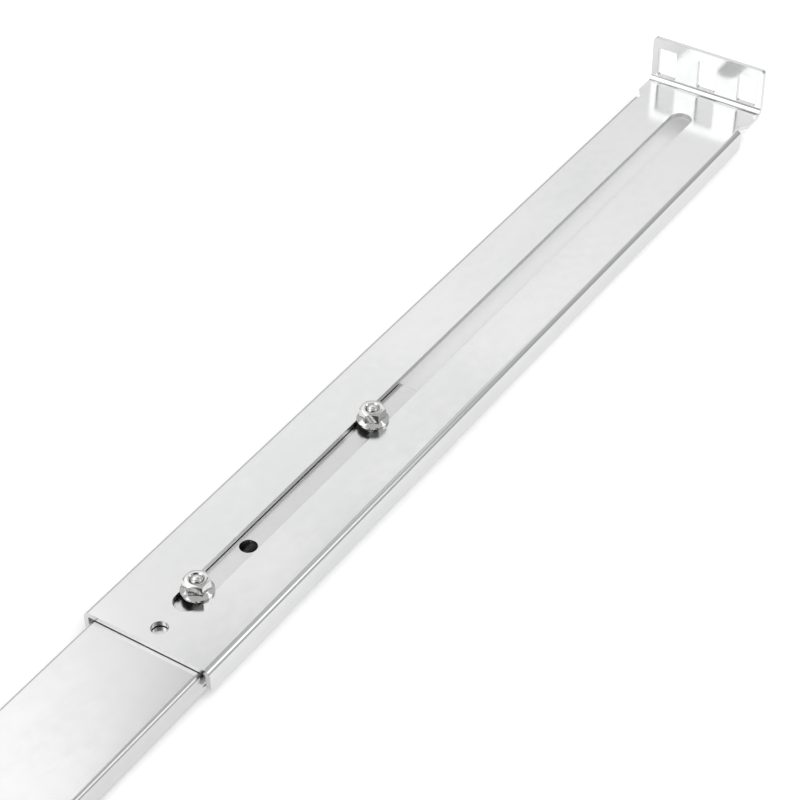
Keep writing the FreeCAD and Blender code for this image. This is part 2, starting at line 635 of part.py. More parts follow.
def main():
    """Writes one STEP file for each piece of the left and of the right rail."""
    os.makedirs("parts", exist_ok=True)
    for name, piece in rail_pieces().items():
        left = piece.copy()
        left.translate(Y_AXIS * (RAIL_SPACING / 2))
        right = left.mirror(ORIGIN, Y_AXIS)
        left.exportStep(f"parts/left_{name}.step")
        right.exportStep(f"parts/right_{name}.step")


main()
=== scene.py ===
"""Looks of the sliding server rail pair: zinc-plated ball-bearing slides with their rack brackets.

Each rail is made on its own centre line and then set on its side of the pair. Sizes are in metres. A slide's
section is drawn by "across", outward from the centre line, and "depth", from the slide's back downward.
"""

import json
import logging
import math
from dataclasses import dataclass, field
from enum import Enum

import bmesh
import bpy
from mathutils import Matrix, Vector

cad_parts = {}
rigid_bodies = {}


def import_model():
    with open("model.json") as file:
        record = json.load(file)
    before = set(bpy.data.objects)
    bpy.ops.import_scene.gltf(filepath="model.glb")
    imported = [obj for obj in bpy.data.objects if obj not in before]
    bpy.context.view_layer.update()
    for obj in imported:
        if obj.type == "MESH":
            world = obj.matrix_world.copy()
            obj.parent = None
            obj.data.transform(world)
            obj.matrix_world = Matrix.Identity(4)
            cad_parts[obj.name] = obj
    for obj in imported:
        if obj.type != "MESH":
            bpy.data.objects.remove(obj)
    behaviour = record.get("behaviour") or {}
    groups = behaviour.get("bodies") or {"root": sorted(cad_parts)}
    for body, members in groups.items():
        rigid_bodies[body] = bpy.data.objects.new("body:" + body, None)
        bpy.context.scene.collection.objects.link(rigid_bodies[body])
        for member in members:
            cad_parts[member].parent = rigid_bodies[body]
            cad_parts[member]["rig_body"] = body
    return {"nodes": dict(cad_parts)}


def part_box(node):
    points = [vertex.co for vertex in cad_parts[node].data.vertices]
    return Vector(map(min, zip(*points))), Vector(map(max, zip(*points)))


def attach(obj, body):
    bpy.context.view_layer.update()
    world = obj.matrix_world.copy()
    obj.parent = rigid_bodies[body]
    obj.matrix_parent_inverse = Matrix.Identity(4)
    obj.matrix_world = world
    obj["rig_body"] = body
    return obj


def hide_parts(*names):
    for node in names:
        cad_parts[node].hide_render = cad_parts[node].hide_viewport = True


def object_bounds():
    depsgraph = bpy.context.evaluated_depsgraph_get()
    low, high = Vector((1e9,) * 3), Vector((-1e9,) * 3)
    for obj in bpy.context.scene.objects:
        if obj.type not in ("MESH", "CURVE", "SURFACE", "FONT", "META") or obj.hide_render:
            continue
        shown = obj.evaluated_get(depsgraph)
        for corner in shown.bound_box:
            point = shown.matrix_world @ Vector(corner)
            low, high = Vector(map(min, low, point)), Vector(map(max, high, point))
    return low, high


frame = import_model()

CAD_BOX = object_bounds()
MM = 0.001
ARC_STEP = math.radians(6)  # between two corners of a bend
SHARP = math.radians(30)  # an edge that turns more than this is crisp, or is rounded
MOULD_ROUNDING = 0.25 * MM  # of the edges of moulded pieces
CLEAR = 1 * MM  # how far a cutting shape runs past what it cuts
SAME = 1e-7  # points nearer to each other than this are one
WHITE = (1.0, 1.0, 1.0, 1.0)
NODE_STEP = 220  # from one node to the next in the editor

Point2 = tuple[float, float]
Point3 = tuple[float, float, float]
Colour = tuple[float, float, float]
Outline = list[Point2]
Mesh = bpy.types.Mesh
Object = bpy.types.Object
Socket = bpy.types.NodeSocket
Sockets = bpy.types.NodeOutputs

log = logging.getLogger("rails")


class Side(Enum):
    """Which rail of the pair: the sign of its place along Y."""

    LEFT = 1
    RIGHT = -1

    @property
    def label(self) -> str:
        """The word that starts this rail's names."""
        return self.name.lower()


class Cut(Enum):
    """What a second shape does to the first."""

    AWAY = "DIFFERENCE"
    ONTO = "UNION"
    WITHIN = "INTERSECT"


# ---- Flat outlines ----
def around(centre: Point2, radius: float, turn: float) -> Point2:
    """The point at a turn, in radians, and at a radius from a centre."""
    return (centre[0] + radius * math.cos(turn), centre[1] + radius * math.sin(turn))


@dataclass(frozen=True)
class Bend:
    """A round stretch of a sheet's centre line. Angles are in degrees and turn from the first axis."""

    centre: Point2
    radius: float
    start: float
    end: float

    def place(self, angle: float, radius: float) -> Point2:
        """The point at an angle, at a radius from the bend's centre."""
        return around(self.centre, radius, math.radians(angle))

    def offset(self, distance: float) -> Outline:
        """Points along the bend, moved to the left of the direction of travel."""
        span = self.end - self.start
        count = max(1, math.ceil(abs(math.radians(span)) / ARC_STEP))
        radius = self.radius - math.copysign(distance, span * distance) if distance else self.radius
        return [self.place(self.start + span * i / count, radius) for i in range(count + 1)]


@dataclass(frozen=True)
class Straight:
    """A straight stretch of a sheet's centre line."""

    start: Point2
    end: Point2

    def offset(self, distance: float) -> Outline:
        """The two ends, moved to the left of the direction of travel."""
        run = Vector(self.end) - Vector(self.start)
        left = Vector((-run.y, run.x)).normalized() * distance
        return [tuple(Vector(p) + left) for p in (self.start, self.end)]


Path = list[Bend | Straight]


def tidy(points: Outline) -> Outline:
    """A closed outline without points that lie on the one before them."""
    kept: Outline = []
    for point in points:
        if not kept or math.dist(point, kept[-1]) > SAME:
            kept.append(point)
    if math.dist(kept[0], kept[-1]) < SAME:
        kept.pop()
    return kept


def both_faces(path: Path, thickness: float) -> Outline:
    """The two faces of a sheet of even thickness, out along its left and back along its right.

    Args:
        path: Tangent stretches of the sheet's centre line.
        thickness: Of the sheet.

    Returns:
        The points of both, with doubles where stretches meet.
    """
    left, right = ([p for stretch in path for p in stretch.offset(side * thickness / 2)] for side in (1, -1))
    return left + right[::-1]


def folded(half_path: Path, thickness: float) -> Outline:
    """The outline of a sheet whose section is the same on both sides of the centre line.

    Args:
        half_path: From the centre line outward along one side.
        thickness: Of the sheet.

    Returns:
        The closed outline.
    """
    half = both_faces(half_path, thickness)
    return tidy(half + [(-a, b) for a, b in reversed(half)])


def channel_path(half: float, top: float, radius: float, bottom: float) -> Path:
    """Half the section of a plain channel, from its centre line to the edge of its flange.

    Args:
        half: From the centre line to the middle of the flange's sheet.
        top: Height of the middle of the web's sheet.
        radius: Of the bend, at the middle of the sheet.
        bottom: Height of the flange's edge.

    Returns:
        Its stretches.
    """
    bend = (half - radius, top - radius)
    return [
        Straight((0.0, top), (bend[0], top)),
        Bend(bend, radius, 90, 0),
        Straight((half, bend[1]), (half, bottom)),
    ]


def disc(centre: Point2, radius: float, count: int = 64) -> Outline:
    """The outline of a round hole with a count of corners."""
    return [around(centre, radius, math.tau * i / count) for i in range(count)]


def soft_box(low: Point2, high: Point2, radius: float, count: int = 8) -> Outline:
    """A rectangle with round corners, or a long hole where the radius is half its width.

    Args:
        low: Lowest corner.
        high: Highest corner.
        radius: Of the corners.
        count: Steps round each corner.

    Returns:
        The outline.
    """
    right, far, left, near = high[0] - radius, high[1] - radius, low[0] + radius, low[1] + radius
    centres = [(right, far), (left, far), (left, near), (right, near)]
    return tidy([
        around(centre, radius, math.pi / 2 * (quarter + i / count))
        for quarter, centre in enumerate(centres) for i in range(count + 1)
    ])


# ---- Node trees ----
class Graph:
    """Adds nodes to one tree and joins them."""

    def __init__(self, tree: bpy.types.NodeTree) -> None:
        """Keeps the tree and empties it."""
        self.tree = tree
        tree.nodes.clear()

    def add(self, kind: str, inputs: dict | None = None, **settings: object) -> bpy.types.Node:
        """Adds a node.

        Args:
            kind: The node's type name.
            inputs: Values or output sockets, by the input's name or number.
            settings: The node's own settings.

        Returns:
            The node.
        """
        node = self.tree.nodes.new(kind)
        node.location = (NODE_STEP * len(self.tree.nodes), 0)
        for name, value in settings.items():
            setattr(node, name, value)
        for name, value in (inputs or {}).items():
            socket = node.inputs[name]
            if isinstance(value, Socket):
                self.tree.links.new(value, socket)
            else:
                socket.default_value = value
        return node

    def out(self, kind: str, inputs: dict | None = None, **settings: object) -> Socket:
        """Adds a node, as above, and gives its first output."""
        return self.add(kind, inputs, **settings).outputs[0]

    def maths(self, operation: str, *values: object) -> Socket:
        """The result of one sum on numbers or sockets."""
        return self.out("ShaderNodeMath", dict(enumerate(values)), operation=operation)

    def socket(
        self, name: str, kind: str, default: object = None, out: bool = False
    ) -> bpy.types.NodeTreeInterfaceSocket:
        """Adds a named socket to a group.

        Args:
            name: The socket's name.
            kind: Float, Vector, Int, Geometry or Material.
            default: Its value where nothing is joined.
            out: Whether it is an output.

        Returns:
            The socket of the group's interface.
        """
        made = self.tree.interface.new_socket(
            name=name, in_out="OUTPUT" if out else "INPUT", socket_type=f"NodeSocket{kind}"
        )
        if default is not None:
            made.default_value = default
        return made


class MeshTree:
    """A Geometry Nodes tree that takes a mesh and named sizes, and gives back a mesh."""

    def __init__(self, name: str, sizes: dict[str, str]) -> None:
        """Makes the tree's sockets.

        Args:
            name: The tree's name.
            sizes: Kind of each input, by name.
        """
        tree = bpy.data.node_groups.new(name, "GeometryNodeTree")
        tree.is_modifier = True
        self.graph = Graph(tree)
        self.graph.socket("Geometry", "Geometry")
        self.graph.socket("Geometry", "Geometry", out=True)
        kinds = {**sizes, "Finish": "Material"}
        self.ids = {size: self.graph.socket(size, kind).identifier for size, kind in kinds.items()}
        self.source = self.graph.add("NodeGroupInput").outputs

    def close(self, geometry: Socket) -> None:
        """Ends the tree: real geometry, in the finish that the input names."""
        real = self.graph.out("GeometryNodeRealizeInstances", {"Geometry": geometry})
        dressed = self.graph.out("GeometryNodeSetMaterial", {"Geometry": real, "Material": self.source["Finish"]})
        self.graph.add("NodeGroupOutput", {"Geometry": dressed})

    def run(self, mesh: Mesh, **sizes: object) -> Mesh:
        """Runs the tree on a mesh.

        Args:
            mesh: What goes in. It is used up.
            sizes: The inputs, by name.

        Returns:
            The plain mesh that comes out.
        """
        shape = bench(mesh)
        modifier = shape.modifiers.new("tree", "NODES")
        modifier.node_group = self.graph.tree
        for size, value in sizes.items():
            modifier[self.ids[size]] = value
        return off_bench(shape)


class Drawn(MeshTree):
    """Draws a flat face out into a closed bar along a straight run."""

    def __init__(self) -> None:
        """Builds the tree."""
        super().__init__("drawn_section", {"Start": "Vector", "Run": "Vector"})
        graph, start = self.graph, self.source
        face = graph.out("GeometryNodeSetPosition", {"Geometry": start["Geometry"], "Offset": start["Start"]})
        far = graph.out(
            "GeometryNodeExtrudeMesh",
            {"Mesh": face, "Offset": start["Run"], "Offset Scale": 1.0, "Individual": False},
            mode="FACES",
        )
        near = graph.out("GeometryNodeFlipFaces", {"Mesh": face})
        both = graph.add("GeometryNodeJoinGeometry")
        for part in (near, far):
            graph.tree.links.new(part, both.inputs[0])
        self.close(graph.out("GeometryNodeMergeByDistance", {"Geometry": both.outputs[0], "Distance": SAME}))


class Row(MeshTree):
    """Sets copies of a shape at an even pitch."""

    def __init__(self) -> None:
        """Builds the tree."""
        super().__init__("row_of_copies", {"First": "Vector", "Pitch": "Vector", "Count": "Int"})
        start = self.source
        stations = self.graph.out(
            "GeometryNodeMeshLine",
            {"Count": start["Count"], "Start Location": start["First"], "Offset": start["Pitch"]},
            mode="OFFSET",
        )
        set_out = {"Points": stations, "Instance": start["Geometry"]}
        self.close(self.graph.out("GeometryNodeInstanceOnPoints", set_out))


# ---- Making meshes ----
def bench(mesh: Mesh, name: str = "bench") -> Object:
    """An object in the scene that holds a mesh."""
    shape = bpy.data.objects.new(name, mesh)
    bpy.context.scene.collection.objects.link(shape)
    return shape


def off_bench(shape: Object) -> Mesh:
    """Takes the mesh with its modifiers applied from an object, and clears the bench."""
    bpy.context.view_layer.update()
    graph = bpy.context.evaluated_depsgraph_get()
    made = bpy.data.meshes.new_from_object(
        shape.evaluated_get(graph), preserve_all_data_layers=True, depsgraph=graph
    )
    raw = shape.data
    bpy.data.objects.remove(shape)
    if not raw.users:
        bpy.data.meshes.remove(raw)
    return made


def written(shape: bmesh.types.BMesh, mesh: Mesh | None = None) -> Mesh:
    """Writes an edited shape into a mesh, or into a new one, and gives the mesh."""
    mesh = mesh or bpy.data.meshes.new("shape")
    shape.to_mesh(mesh)
    shape.free()
    return mesh


def outward(mesh: Mesh) -> Mesh:
    """Turns the faces of a closed mesh outward, once its doubles are merged."""
    shape = bmesh.new()
    shape.from_mesh(mesh)
    bmesh.ops.remove_doubles(shape, verts=shape.verts, dist=SAME)
    bmesh.ops.recalc_face_normals(shape, faces=shape.faces)
    return written(shape, mesh)


def joined(meshes: list[Mesh]) -> Mesh:
    """Several meshes as one."""
    shape = bmesh.new()
    for mesh in meshes:
        shape.from_mesh(mesh)
    return written(shape)


def turned(mesh: Mesh, matrix: Matrix) -> Mesh:
    """The mesh, moved by a matrix and turned right side out where the matrix mirrors it."""
    mesh.transform(matrix)
    if matrix.determinant() < 0:
        mesh.flip_normals()
    return mesh


def lofted(rings: list[list[Point3]]) -> Mesh:
    """A closed skin over rings of points.

    Args:
        rings: From the first to the last, all with as many points, or with one where the skin comes to a point.

    Returns:
        The mesh.
    """
    shape = bmesh.new()
    loops = [[shape.verts.new(point) for point in ring] for ring in rings]
    count = max(len(loop) for loop in loops)
    for low, high in zip(loops, loops[1:]):
        for i in range(count):
            corners = [low[i % len(low)], low[(i + 1) % len(low)], high[(i + 1) % len(high)], high[i % len(high)]]
            shape.faces.new(list(dict.fromkeys(corners)))
    for loop in (loops[-1], loops[0][::-1]):
        if len(loop) > 1:
            shape.faces.new(loop)
    return outward(written(shape))


def revolve(profile: Outline, count: int = 64) -> Mesh:
    """A turned shape about the Z axis.

    Args:
        profile: Its (radius, height) points from the bottom to the top, both on the axis.
        count: Steps round it.

    Returns:
        The closed mesh.
    """
    return lofted([
        [(*point, height) for point in disc((0.0, 0.0), radius, count)] if radius > SAME else [(0.0, 0.0, height)]
        for radius, height in profile
    ])


class Shop:
    """The shared mesh trees, and the cuts that are made with them."""

    def __init__(self) -> None:
        """Builds the trees once."""
        self.drawn = Drawn()
        self.rows = Row()

    def bar(self, outline: Outline, axis: str, low: float, high: float) -> Mesh:
        """A closed bar with a flat outline.

        Args:
            outline: Its points. The two axes are YZ, XZ or XY, as the run leaves them.
            axis: X, Y or Z, along which it runs.
            low: Where the run starts.
            high: Where the run ends.

        Returns:
            The bar's mesh.
        """
        at = "XYZ".index(axis)
        along = Vector([float(i == at) for i in range(3)])
        mesh = bpy.data.meshes.new("outline")
        mesh.from_pydata([(*p[:at], 0.0, *p[at:]) for p in outline], [], [list(range(len(outline)))])
        return outward(self.drawn.run(mesh, Start=along * low, Run=along * (high - low)))

    def row(self, mesh: Mesh, first: Point3, pitch: Point3, count: int) -> Mesh:
        """Copies of a shape at an even pitch.

        Args:
            mesh: The shape, at the origin. It is used up.
            first: Place of the first copy.
            pitch: From one copy to the next.
            count: How many.

        Returns:
            One mesh of them all.
        """
        return self.rows.run(mesh, First=Vector(first), Pitch=Vector(pitch), Count=count)

    def worked(self, mesh: Mesh, cut: Cut, *tools: Mesh) -> Mesh:
        """A mesh after other shapes are cut away from it or added to it.

        Args:
            mesh: It is used up.
            cut: What the tools do.
            tools: They are used up.

        Returns:
            The worked mesh.
        """
        shape = bench(mesh)
        hands = [bench(tool) for tool in tools]
        for hand in hands:
            modifier = shape.modifiers.new("cut", "BOOLEAN")
            modifier.operation = cut.value
            modifier.solver = "EXACT"
            modifier.object = hand
        made = off_bench(shape)
        for hand in hands:
            bpy.data.objects.remove(hand)
        return outward(made)


# ---- Shader groups ----
class Effect:
    """A shader node group whose output is a mask from 0 to 1, shared by several finishes."""

    title = ""
    sizes: dict[str, float] = {}

    def __init__(self) -> None:
        """Builds the group once."""
        self.graph = Graph(bpy.data.node_groups.new(self.title, "ShaderNodeTree"))
        for size, value in self.sizes.items():
            self.graph.socket(size, "Float", value)
        self.graph.socket("Mask", "Float", out=True)
        self.source = self.graph.add("NodeGroupInput")
        self.graph.add("NodeGroupOutput", {"Mask": self.mask(self.source.outputs)})

    def mask(self, size: Sockets) -> Socket:
        """The socket that carries the mask."""
        raise NotImplementedError

    def place(self, stretch: Point3 | Socket = (1.0, 1.0, 1.0), turn: float = 0.0) -> Socket:
        """The object's own coordinates, stretched along each axis and turned about Z by degrees."""
        here = self.graph.add("ShaderNodeTexCoord").outputs["Object"]
        turns = (0, 0, math.radians(turn))
        return self.graph.out("ShaderNodeMapping", {"Vector": here, "Rotation": turns, "Scale": stretch})

    def noise(self, vector: Socket, scale: float | Socket, detail: float, roughness: float = 0.5) -> Socket:
        """Noise from 0 to 1 over a vector."""
        return self.graph.out(
            "ShaderNodeTexNoise", {"Vector": vector, "Scale": scale, "Detail": detail, "Roughness": roughness}
        )

    def ramp(self, value: Socket, low: float | Socket, high: float | Socket) -> Socket:
        """A value spread smoothly from 0 at low to 1 at high."""
        spread = {"Value": value, "From Min": low, "From Max": high}
        return self.graph.out("ShaderNodeMapRange", spread, interpolation_type="SMOOTHSTEP")


class RolledGrain(Effect):
    """Fine streaks left along the sheet by the rolling mill."""

    title = "rolled_grain"
    sizes = {"Scale": 2600.0, "Stretch": 0.03}

    def mask(self, size: Sockets) -> Socket:
        """Noise drawn out along X."""
        stretch = self.graph.out("ShaderNodeCombineXYZ", {"X": size["Stretch"], "Y": 1.0, "Z": 1.0})
        streaks = self.noise(self.place(stretch), size["Scale"], detail=3.0, roughness=0.6)
        return self.ramp(streaks, low=0.25, high=0.75)


class PlatingCloud(Effect):
    """Soft patches where the zinc is thicker or duller."""

    title = "plating_cloud"
    sizes = {"Scale": 28.0, "Sharpness": 0.5}

    def mask(self, size: Sockets) -> Socket:
        """Broad noise, broken by a finer one."""
        maths = self.graph.maths
        broad = self.noise(self.place((0.45, 1.0, 1.0)), size["Scale"], detail=4.0)
        fine = self.noise(self.place(turn=31.0), maths("MULTIPLY", size["Scale"], 9.0), detail=2.0)
        mixed = maths("ADD", maths("MULTIPLY", broad, 0.75), maths("MULTIPLY", fine, 0.25))
        half = maths("SUBTRACT", 0.5, maths("MULTIPLY", size["Sharpness"], 0.35))
        return self.ramp(mixed, half, maths("SUBTRACT", 1.0, half))


class Hairlines(Effect):
    """Sparse handling scratches in two directions."""

    title = "hairlines"
    sizes = {"Scale": 900.0, "Amount": 0.5}

    def mask(self, size: Sockets) -> Socket:
        """The crests of two strongly stretched noises, kept only in patches."""
        maths = self.graph.maths
        noises = [
            self.noise(self.place((stretch, 1.0, 1.0), turn), size["Scale"], detail=0.0)
            for turn, stretch in ((17.0, 0.02), (-48.0, 0.035))
        ]
        lines = [self.ramp(noise, low=0.74, high=0.8) for noise in noises]
        patches = self.ramp(self.noise(self.place(), scale=45.0, detail=1.0), low=0.5, high=0.62)
        return maths("MULTIPLY", maths("MAXIMUM", *lines), maths("MULTIPLY", patches, size["Amount"]))


class WornEdge(Effect):
    """Corners, from the difference between the true normal and one rounded over a radius: rubbed wear on nylon,
    painted shade on the bracket's edges and a painted highlight on the other steels' edges.
    """

    title = "worn_edge"
    sizes = {"Radius": 0.0005, "Amount": 1.0}

    def mask(self, size: Sockets) -> Socket:
        """The rounded normal against the face's own, broken up by noise."""
        maths = self.graph.maths
        soft = self.graph.out("ShaderNodeBevel", {"Radius": size["Radius"]}, samples=4)
        plain = self.graph.add("ShaderNodeNewGeometry").outputs["True Normal"]
        same = self.graph.add("ShaderNodeVectorMath", {0: soft, 1: plain}, operation="DOT_PRODUCT")
        bent = self.ramp(maths("SUBTRACT", 1.0, same.outputs["Value"]), low=0.02, high=0.25)
        patches = self.ramp(self.noise(self.place(), scale=700.0, detail=2.0), low=0.3, high=0.6)
        return maths("MULTIPLY", maths("MULTIPLY", bent, patches), size["Amount"])


class MouldedSkin(Effect):
    """The fine pitted skin of moulded nylon."""

    title = "moulded_skin"
    sizes = {"Scale": 2200.0}

    def mask(self, size: Sockets) -> Socket:
        """Cells softened by noise."""
        cells = self.graph.add("ShaderNodeTexVoronoi", {"Vector": self.place(), "Scale": size["Scale"]})
        pits = self.ramp(cells.outputs["Distance"], low=0.0, high=0.6)
        return self.graph.maths("MULTIPLY", pits, self.noise(self.place(), size["Scale"], detail=3.0))


@dataclass(frozen=True)
class Effects:
    """The groups that the finishes share."""

    grain: RolledGrain = field(default_factory=RolledGrain)
    cloud: PlatingCloud = field(default_factory=PlatingCloud)
    hairlines: Hairlines = field(default_factory=Hairlines)
    edge: WornEdge = field(default_factory=WornEdge)
    skin: MouldedSkin = field(default_factory=MouldedSkin)


# ---- Finishes ----
@dataclass(frozen=True)
class Finish:
    """What every finish has: its material's name, its colours and its gloss."""

    slot: str
    colour: Colour
    shade: Colour
    # colour of corners and hairlines: rubbed wear on nylon, painted dark edge shade on the bracket, painted edge
    # highlight on the other steels
    worn: Colour
    roughness: float
    spread: float  # of the roughness, between the glossiest and the dullest patch

    def material(self, effects: Effects) -> bpy.types.Material:
        """The finished material, with the shared groups in it."""
        material = bpy.data.materials.new(self.slot)
        material.use_nodes = True
        material.diffuse_color = (*self.colour, 1.0)
        graph = Graph(material.node_tree)
        shader = graph.out("ShaderNodeBsdfPrincipled", self.dressed(graph, effects))
        graph.add("ShaderNodeOutputMaterial", {"Surface": shader})
        return material

    def dressed(self, graph: Graph, effects: Effects) -> dict[str, object]:
        """The inputs of the material's shader."""
        raise NotImplementedError

    @staticmethod
    def effect(graph: Graph, effect: Effect, **sizes: float) -> Socket:
        """Places a shared group.

        Args:
            graph: Of the material.
            effect: The group.
            sizes: This material's own values for its inputs.

        Returns:
            The mask that it puts out.
        """
        group = graph.add("ShaderNodeGroup", node_tree=effect.graph.tree)
        for size, value in sizes.items():
            group.inputs[size].default_value = value
        return group.outputs["Mask"]

    @staticmethod
    def mixed(graph: Graph, share: object, first: object, second: object) -> Socket:
        """Two colours mixed by a share.

        Args:
            graph: Of the material.
            share: From 0 to 1, or a socket.
            first: A colour or a socket.
            second: A colour or a socket.

        Returns:
            The mixed colour.
        """
        colours = [(*c, 1.0) if isinstance(c, tuple) else c for c in (first, second)]
        return graph.add("ShaderNodeMix", {0: share, 6: colours[0], 7: colours[1]}, data_type="RGBA").outputs[2]


@dataclass(frozen=True)
class SteelFinish(Finish):
    """Bright zinc-plated steel, rolled along X."""

    grain: float = 0.3  # share of the bump that the rolling streaks have
    grain_scale: float = 2600.0
    cloud_scale: float = 28.0
    scratches: float = 0.4
    streaks: float = 0.25  # share of the shade in a streak
    cloud_bump: float = 0.2
    bump: float = 0.05
    bump_height: float = 0.02 * MM
    edge_radius: float = 0.4 * MM

    def dressed(self, graph: Graph, effects: Effects) -> dict[str, object]:
        """Clouded and streaked plating with hairlines, and corners painted with edge shade on the bracket and edge
        highlights on the other steels.
        """
        maths = graph.maths
        cloud = self.effect(graph, effects.cloud, Scale=self.cloud_scale)
        grain = self.effect(graph, effects.grain, Scale=self.grain_scale)
        lines = self.effect(graph, effects.hairlines, Amount=self.scratches)
        edge = self.effect(graph, effects.edge, Radius=self.edge_radius)
        body = self.mixed(graph, cloud, self.colour, self.shade)
        streaked = self.mixed(graph, maths("MULTIPLY", grain, self.streaks), body, self.shade)
        dull = maths(
            "ADD",
            maths("MULTIPLY_ADD", cloud, self.spread, self.roughness - self.spread / 2),
            maths("MULTIPLY", maths("ADD", grain, lines), self.spread / 2),
        )
        clouded = maths("MULTIPLY", cloud, self.cloud_bump)
        height = maths("SUBTRACT", maths("MULTIPLY_ADD", grain, self.grain, clouded), lines)
        bump = graph.out("ShaderNodeBump", {"Strength": self.bump, "Distance": self.bump_height, "Height": height})
        # the corners take the finish's painted edge colour: painted shade on the bracket, painted highlight on the
        # other steels
        colour = self.mixed(graph, edge, streaked, self.worn)
        return {"Base Color": colour, "Metallic": 1.0, "Roughness": dull, "Normal": bump}


@dataclass(frozen=True)
class NylonFinish(Finish):
    """Moulded nylon with a pitted skin and rubbed corners."""

    skin_scale: float = 2200.0
    cloud_scale: float = 160.0
    scratches: float = 0.6
    bump: float = 0.35
    bump_height: float = 0.03 * MM
    edge_radius: float = 0.5 * MM

    def dressed(self, graph: Graph, effects: Effects) -> dict[str, object]:
        """Pitted plastic with hairlines and rubbed corners."""
        maths = graph.maths
        skin = self.effect(graph, effects.skin, Scale=self.skin_scale)
        cloud = self.effect(graph, effects.cloud, Scale=self.cloud_scale)
        lines = self.effect(graph, effects.hairlines, Amount=self.scratches)
        edge = self.effect(graph, effects.edge, Radius=self.edge_radius)
        body = self.mixed(graph, cloud, self.colour, self.shade)
        colour = self.mixed(graph, maths("MAXIMUM", edge, lines), body, self.worn)
        dull = maths("MULTIPLY_ADD", maths("SUBTRACT", cloud, edge), self.spread, self.roughness - self.spread / 2)
        bump = graph.out("ShaderNodeBump", {"Strength": self.bump, "Distance": self.bump_height, "Height": skin})
        return {"Base Color": colour, "Roughness": dull, "Normal": bump}


# the bracket's dark corner colour paints shade into its bends and sheared edges as dark lines
BRACKET_STEEL = SteelFinish(
    "bracket_steel", (0.785, 0.79, 0.785), (0.735, 0.745, 0.74), (0.42, 0.425, 0.42),
    roughness=0.14, spread=0.06,
)
# the lighter corner colour of these steels paints highlights along their bends and edges
SLIDE_STEEL = SteelFinish(
    "slide_steel", (0.72, 0.715, 0.717), (0.695, 0.69, 0.693), (0.85, 0.85, 0.85),
    roughness=0.22, spread=0.06, grain=0.15, grain_scale=3400.0, bump=0.025,
)
FASTENER_STEEL = SteelFinish(
    "fastener_steel", (0.80, 0.80, 0.79), (0.70, 0.70, 0.69), (0.88, 0.88, 0.87),
    roughness=0.08, spread=0.06, grain=0.1, cloud_scale=300.0, scratches=0.3, edge_radius=0.2 * MM,
)
RETAINER_STEEL = SteelFinish(
    "retainer_steel", (0.72, 0.72, 0.71), (0.62, 0.625, 0.62), (0.82, 0.82, 0.82),
    roughness=0.26, spread=0.10, grain=0.6, edge_radius=0.2 * MM,
)
BEARING_STEEL = SteelFinish(
    "bearing_steel", (0.76, 0.76, 0.77), (0.68, 0.68, 0.69), (0.84, 0.84, 0.84),
    roughness=0.05, spread=0.03, grain=0.0, cloud_scale=500.0, scratches=0.2, edge_radius=0.1 * MM,
)
BLACK_NYLON = NylonFinish(
    "black_nylon", (0.018, 0.018, 0.019), (0.03, 0.03, 0.031), (0.09, 0.09, 0.09),
    roughness=0.48, spread=0.16,
)
BLUE_NYLON = NylonFinish(
    "blue_nylon", (0.012, 0.09, 0.34), (0.016, 0.11, 0.40), (0.10, 0.24, 0.52),
    roughness=0.42, spread=0.14,
)
FINISHES = (BRACKET_STEEL, SLIDE_STEEL, FASTENER_STEEL, RETAINER_STEEL, BEARING_STEEL, BLACK_NYLON, BLUE_NYLON)


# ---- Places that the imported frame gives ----
@dataclass(frozen=True)
class Places:
    """Where the pieces of one rail lie, on its centre line."""

    centre: float  # of each rail, from the middle of the pair
    back: float  # height of the outer member's back
    front: float  # of the slide
    rear: float

    @staticmethod
    def read() -> "Places":
        """Reads the places from the outer member of the left rail."""
        low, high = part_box("left_outer_member")
        return Places((low.y + high.y) / 2, high.z, low.x, high.x)

    def height(self, depth: float) -> float:
        """The height of a depth below the slide's back."""
        return self.back - depth

    @staticmethod
    def span(node: str) -> tuple[Vector, Vector]:
        """The lowest and highest corner of a node of the left rail."""
        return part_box(f"left_{node}")

    @staticmethod
    def pivot() -> float:
        """Place along the slide of the rivet that the lever turns on."""
        return sum(corner.x for corner in Places.span("lever_rivet")) / 2


@dataclass
class Rails:
    """Sets finished meshes on both sides of the pair."""

    shop: Shop
    places: Places
    materials: dict[str, bpy.types.Material]

    def set_down(
        self, mesh: Mesh, name: str, node: str, finish: Finish, rounding: float = 0.12 * MM, segments: int = 2
    ) -> None:
        """Puts a piece on each rail in place of its node.

        Args:
            mesh: The piece on a rail's centre line. It is used up.
            name: The piece's name without its side.
            node: The node's name without its side.
            finish: Its material.
            rounding: Width of the rounding of its edges, or 0 for none.
            segments: Of the rounding.
        """
        for side in Side:
            shift = Matrix.Translation((0, side.value * self.places.centre, 0))
            copy = turned(mesh.copy(), shift @ Matrix.Diagonal((1, side.value, 1, 1)))
            piece = self.rounded(copy, rounding, segments)
            piece.name = f"{side.label}_{name}"
            piece.data.name = piece.name
            piece.data.materials.clear()
            piece.data.materials.append(self.materials[finish.slot])
            of = f"{side.label}_{node}"
            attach(piece, frame["nodes"][of]["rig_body"])
            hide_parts(of)
            log.info("%s: %d faces", piece.name, len(piece.data.polygons))

    @staticmethod
    def rounded(mesh: Mesh, width: float, segments: int) -> Object:
        """A piece with softened edges and smooth bends, in the scene and without live modifiers."""
        mesh.shade_smooth()
        mesh.set_sharp_from_angle(angle=SHARP)
        shape = bench(mesh)
        if not width:
            return shape
        bevel = shape.modifiers.new("edges", "BEVEL")
        bevel.width = width
        bevel.segments = segments
        bevel.limit_method = "ANGLE"
        bevel.angle_limit = SHARP
        bevel.use_clamp_overlap = True
        bevel.harden_normals = True
        return bench(off_bench(shape))


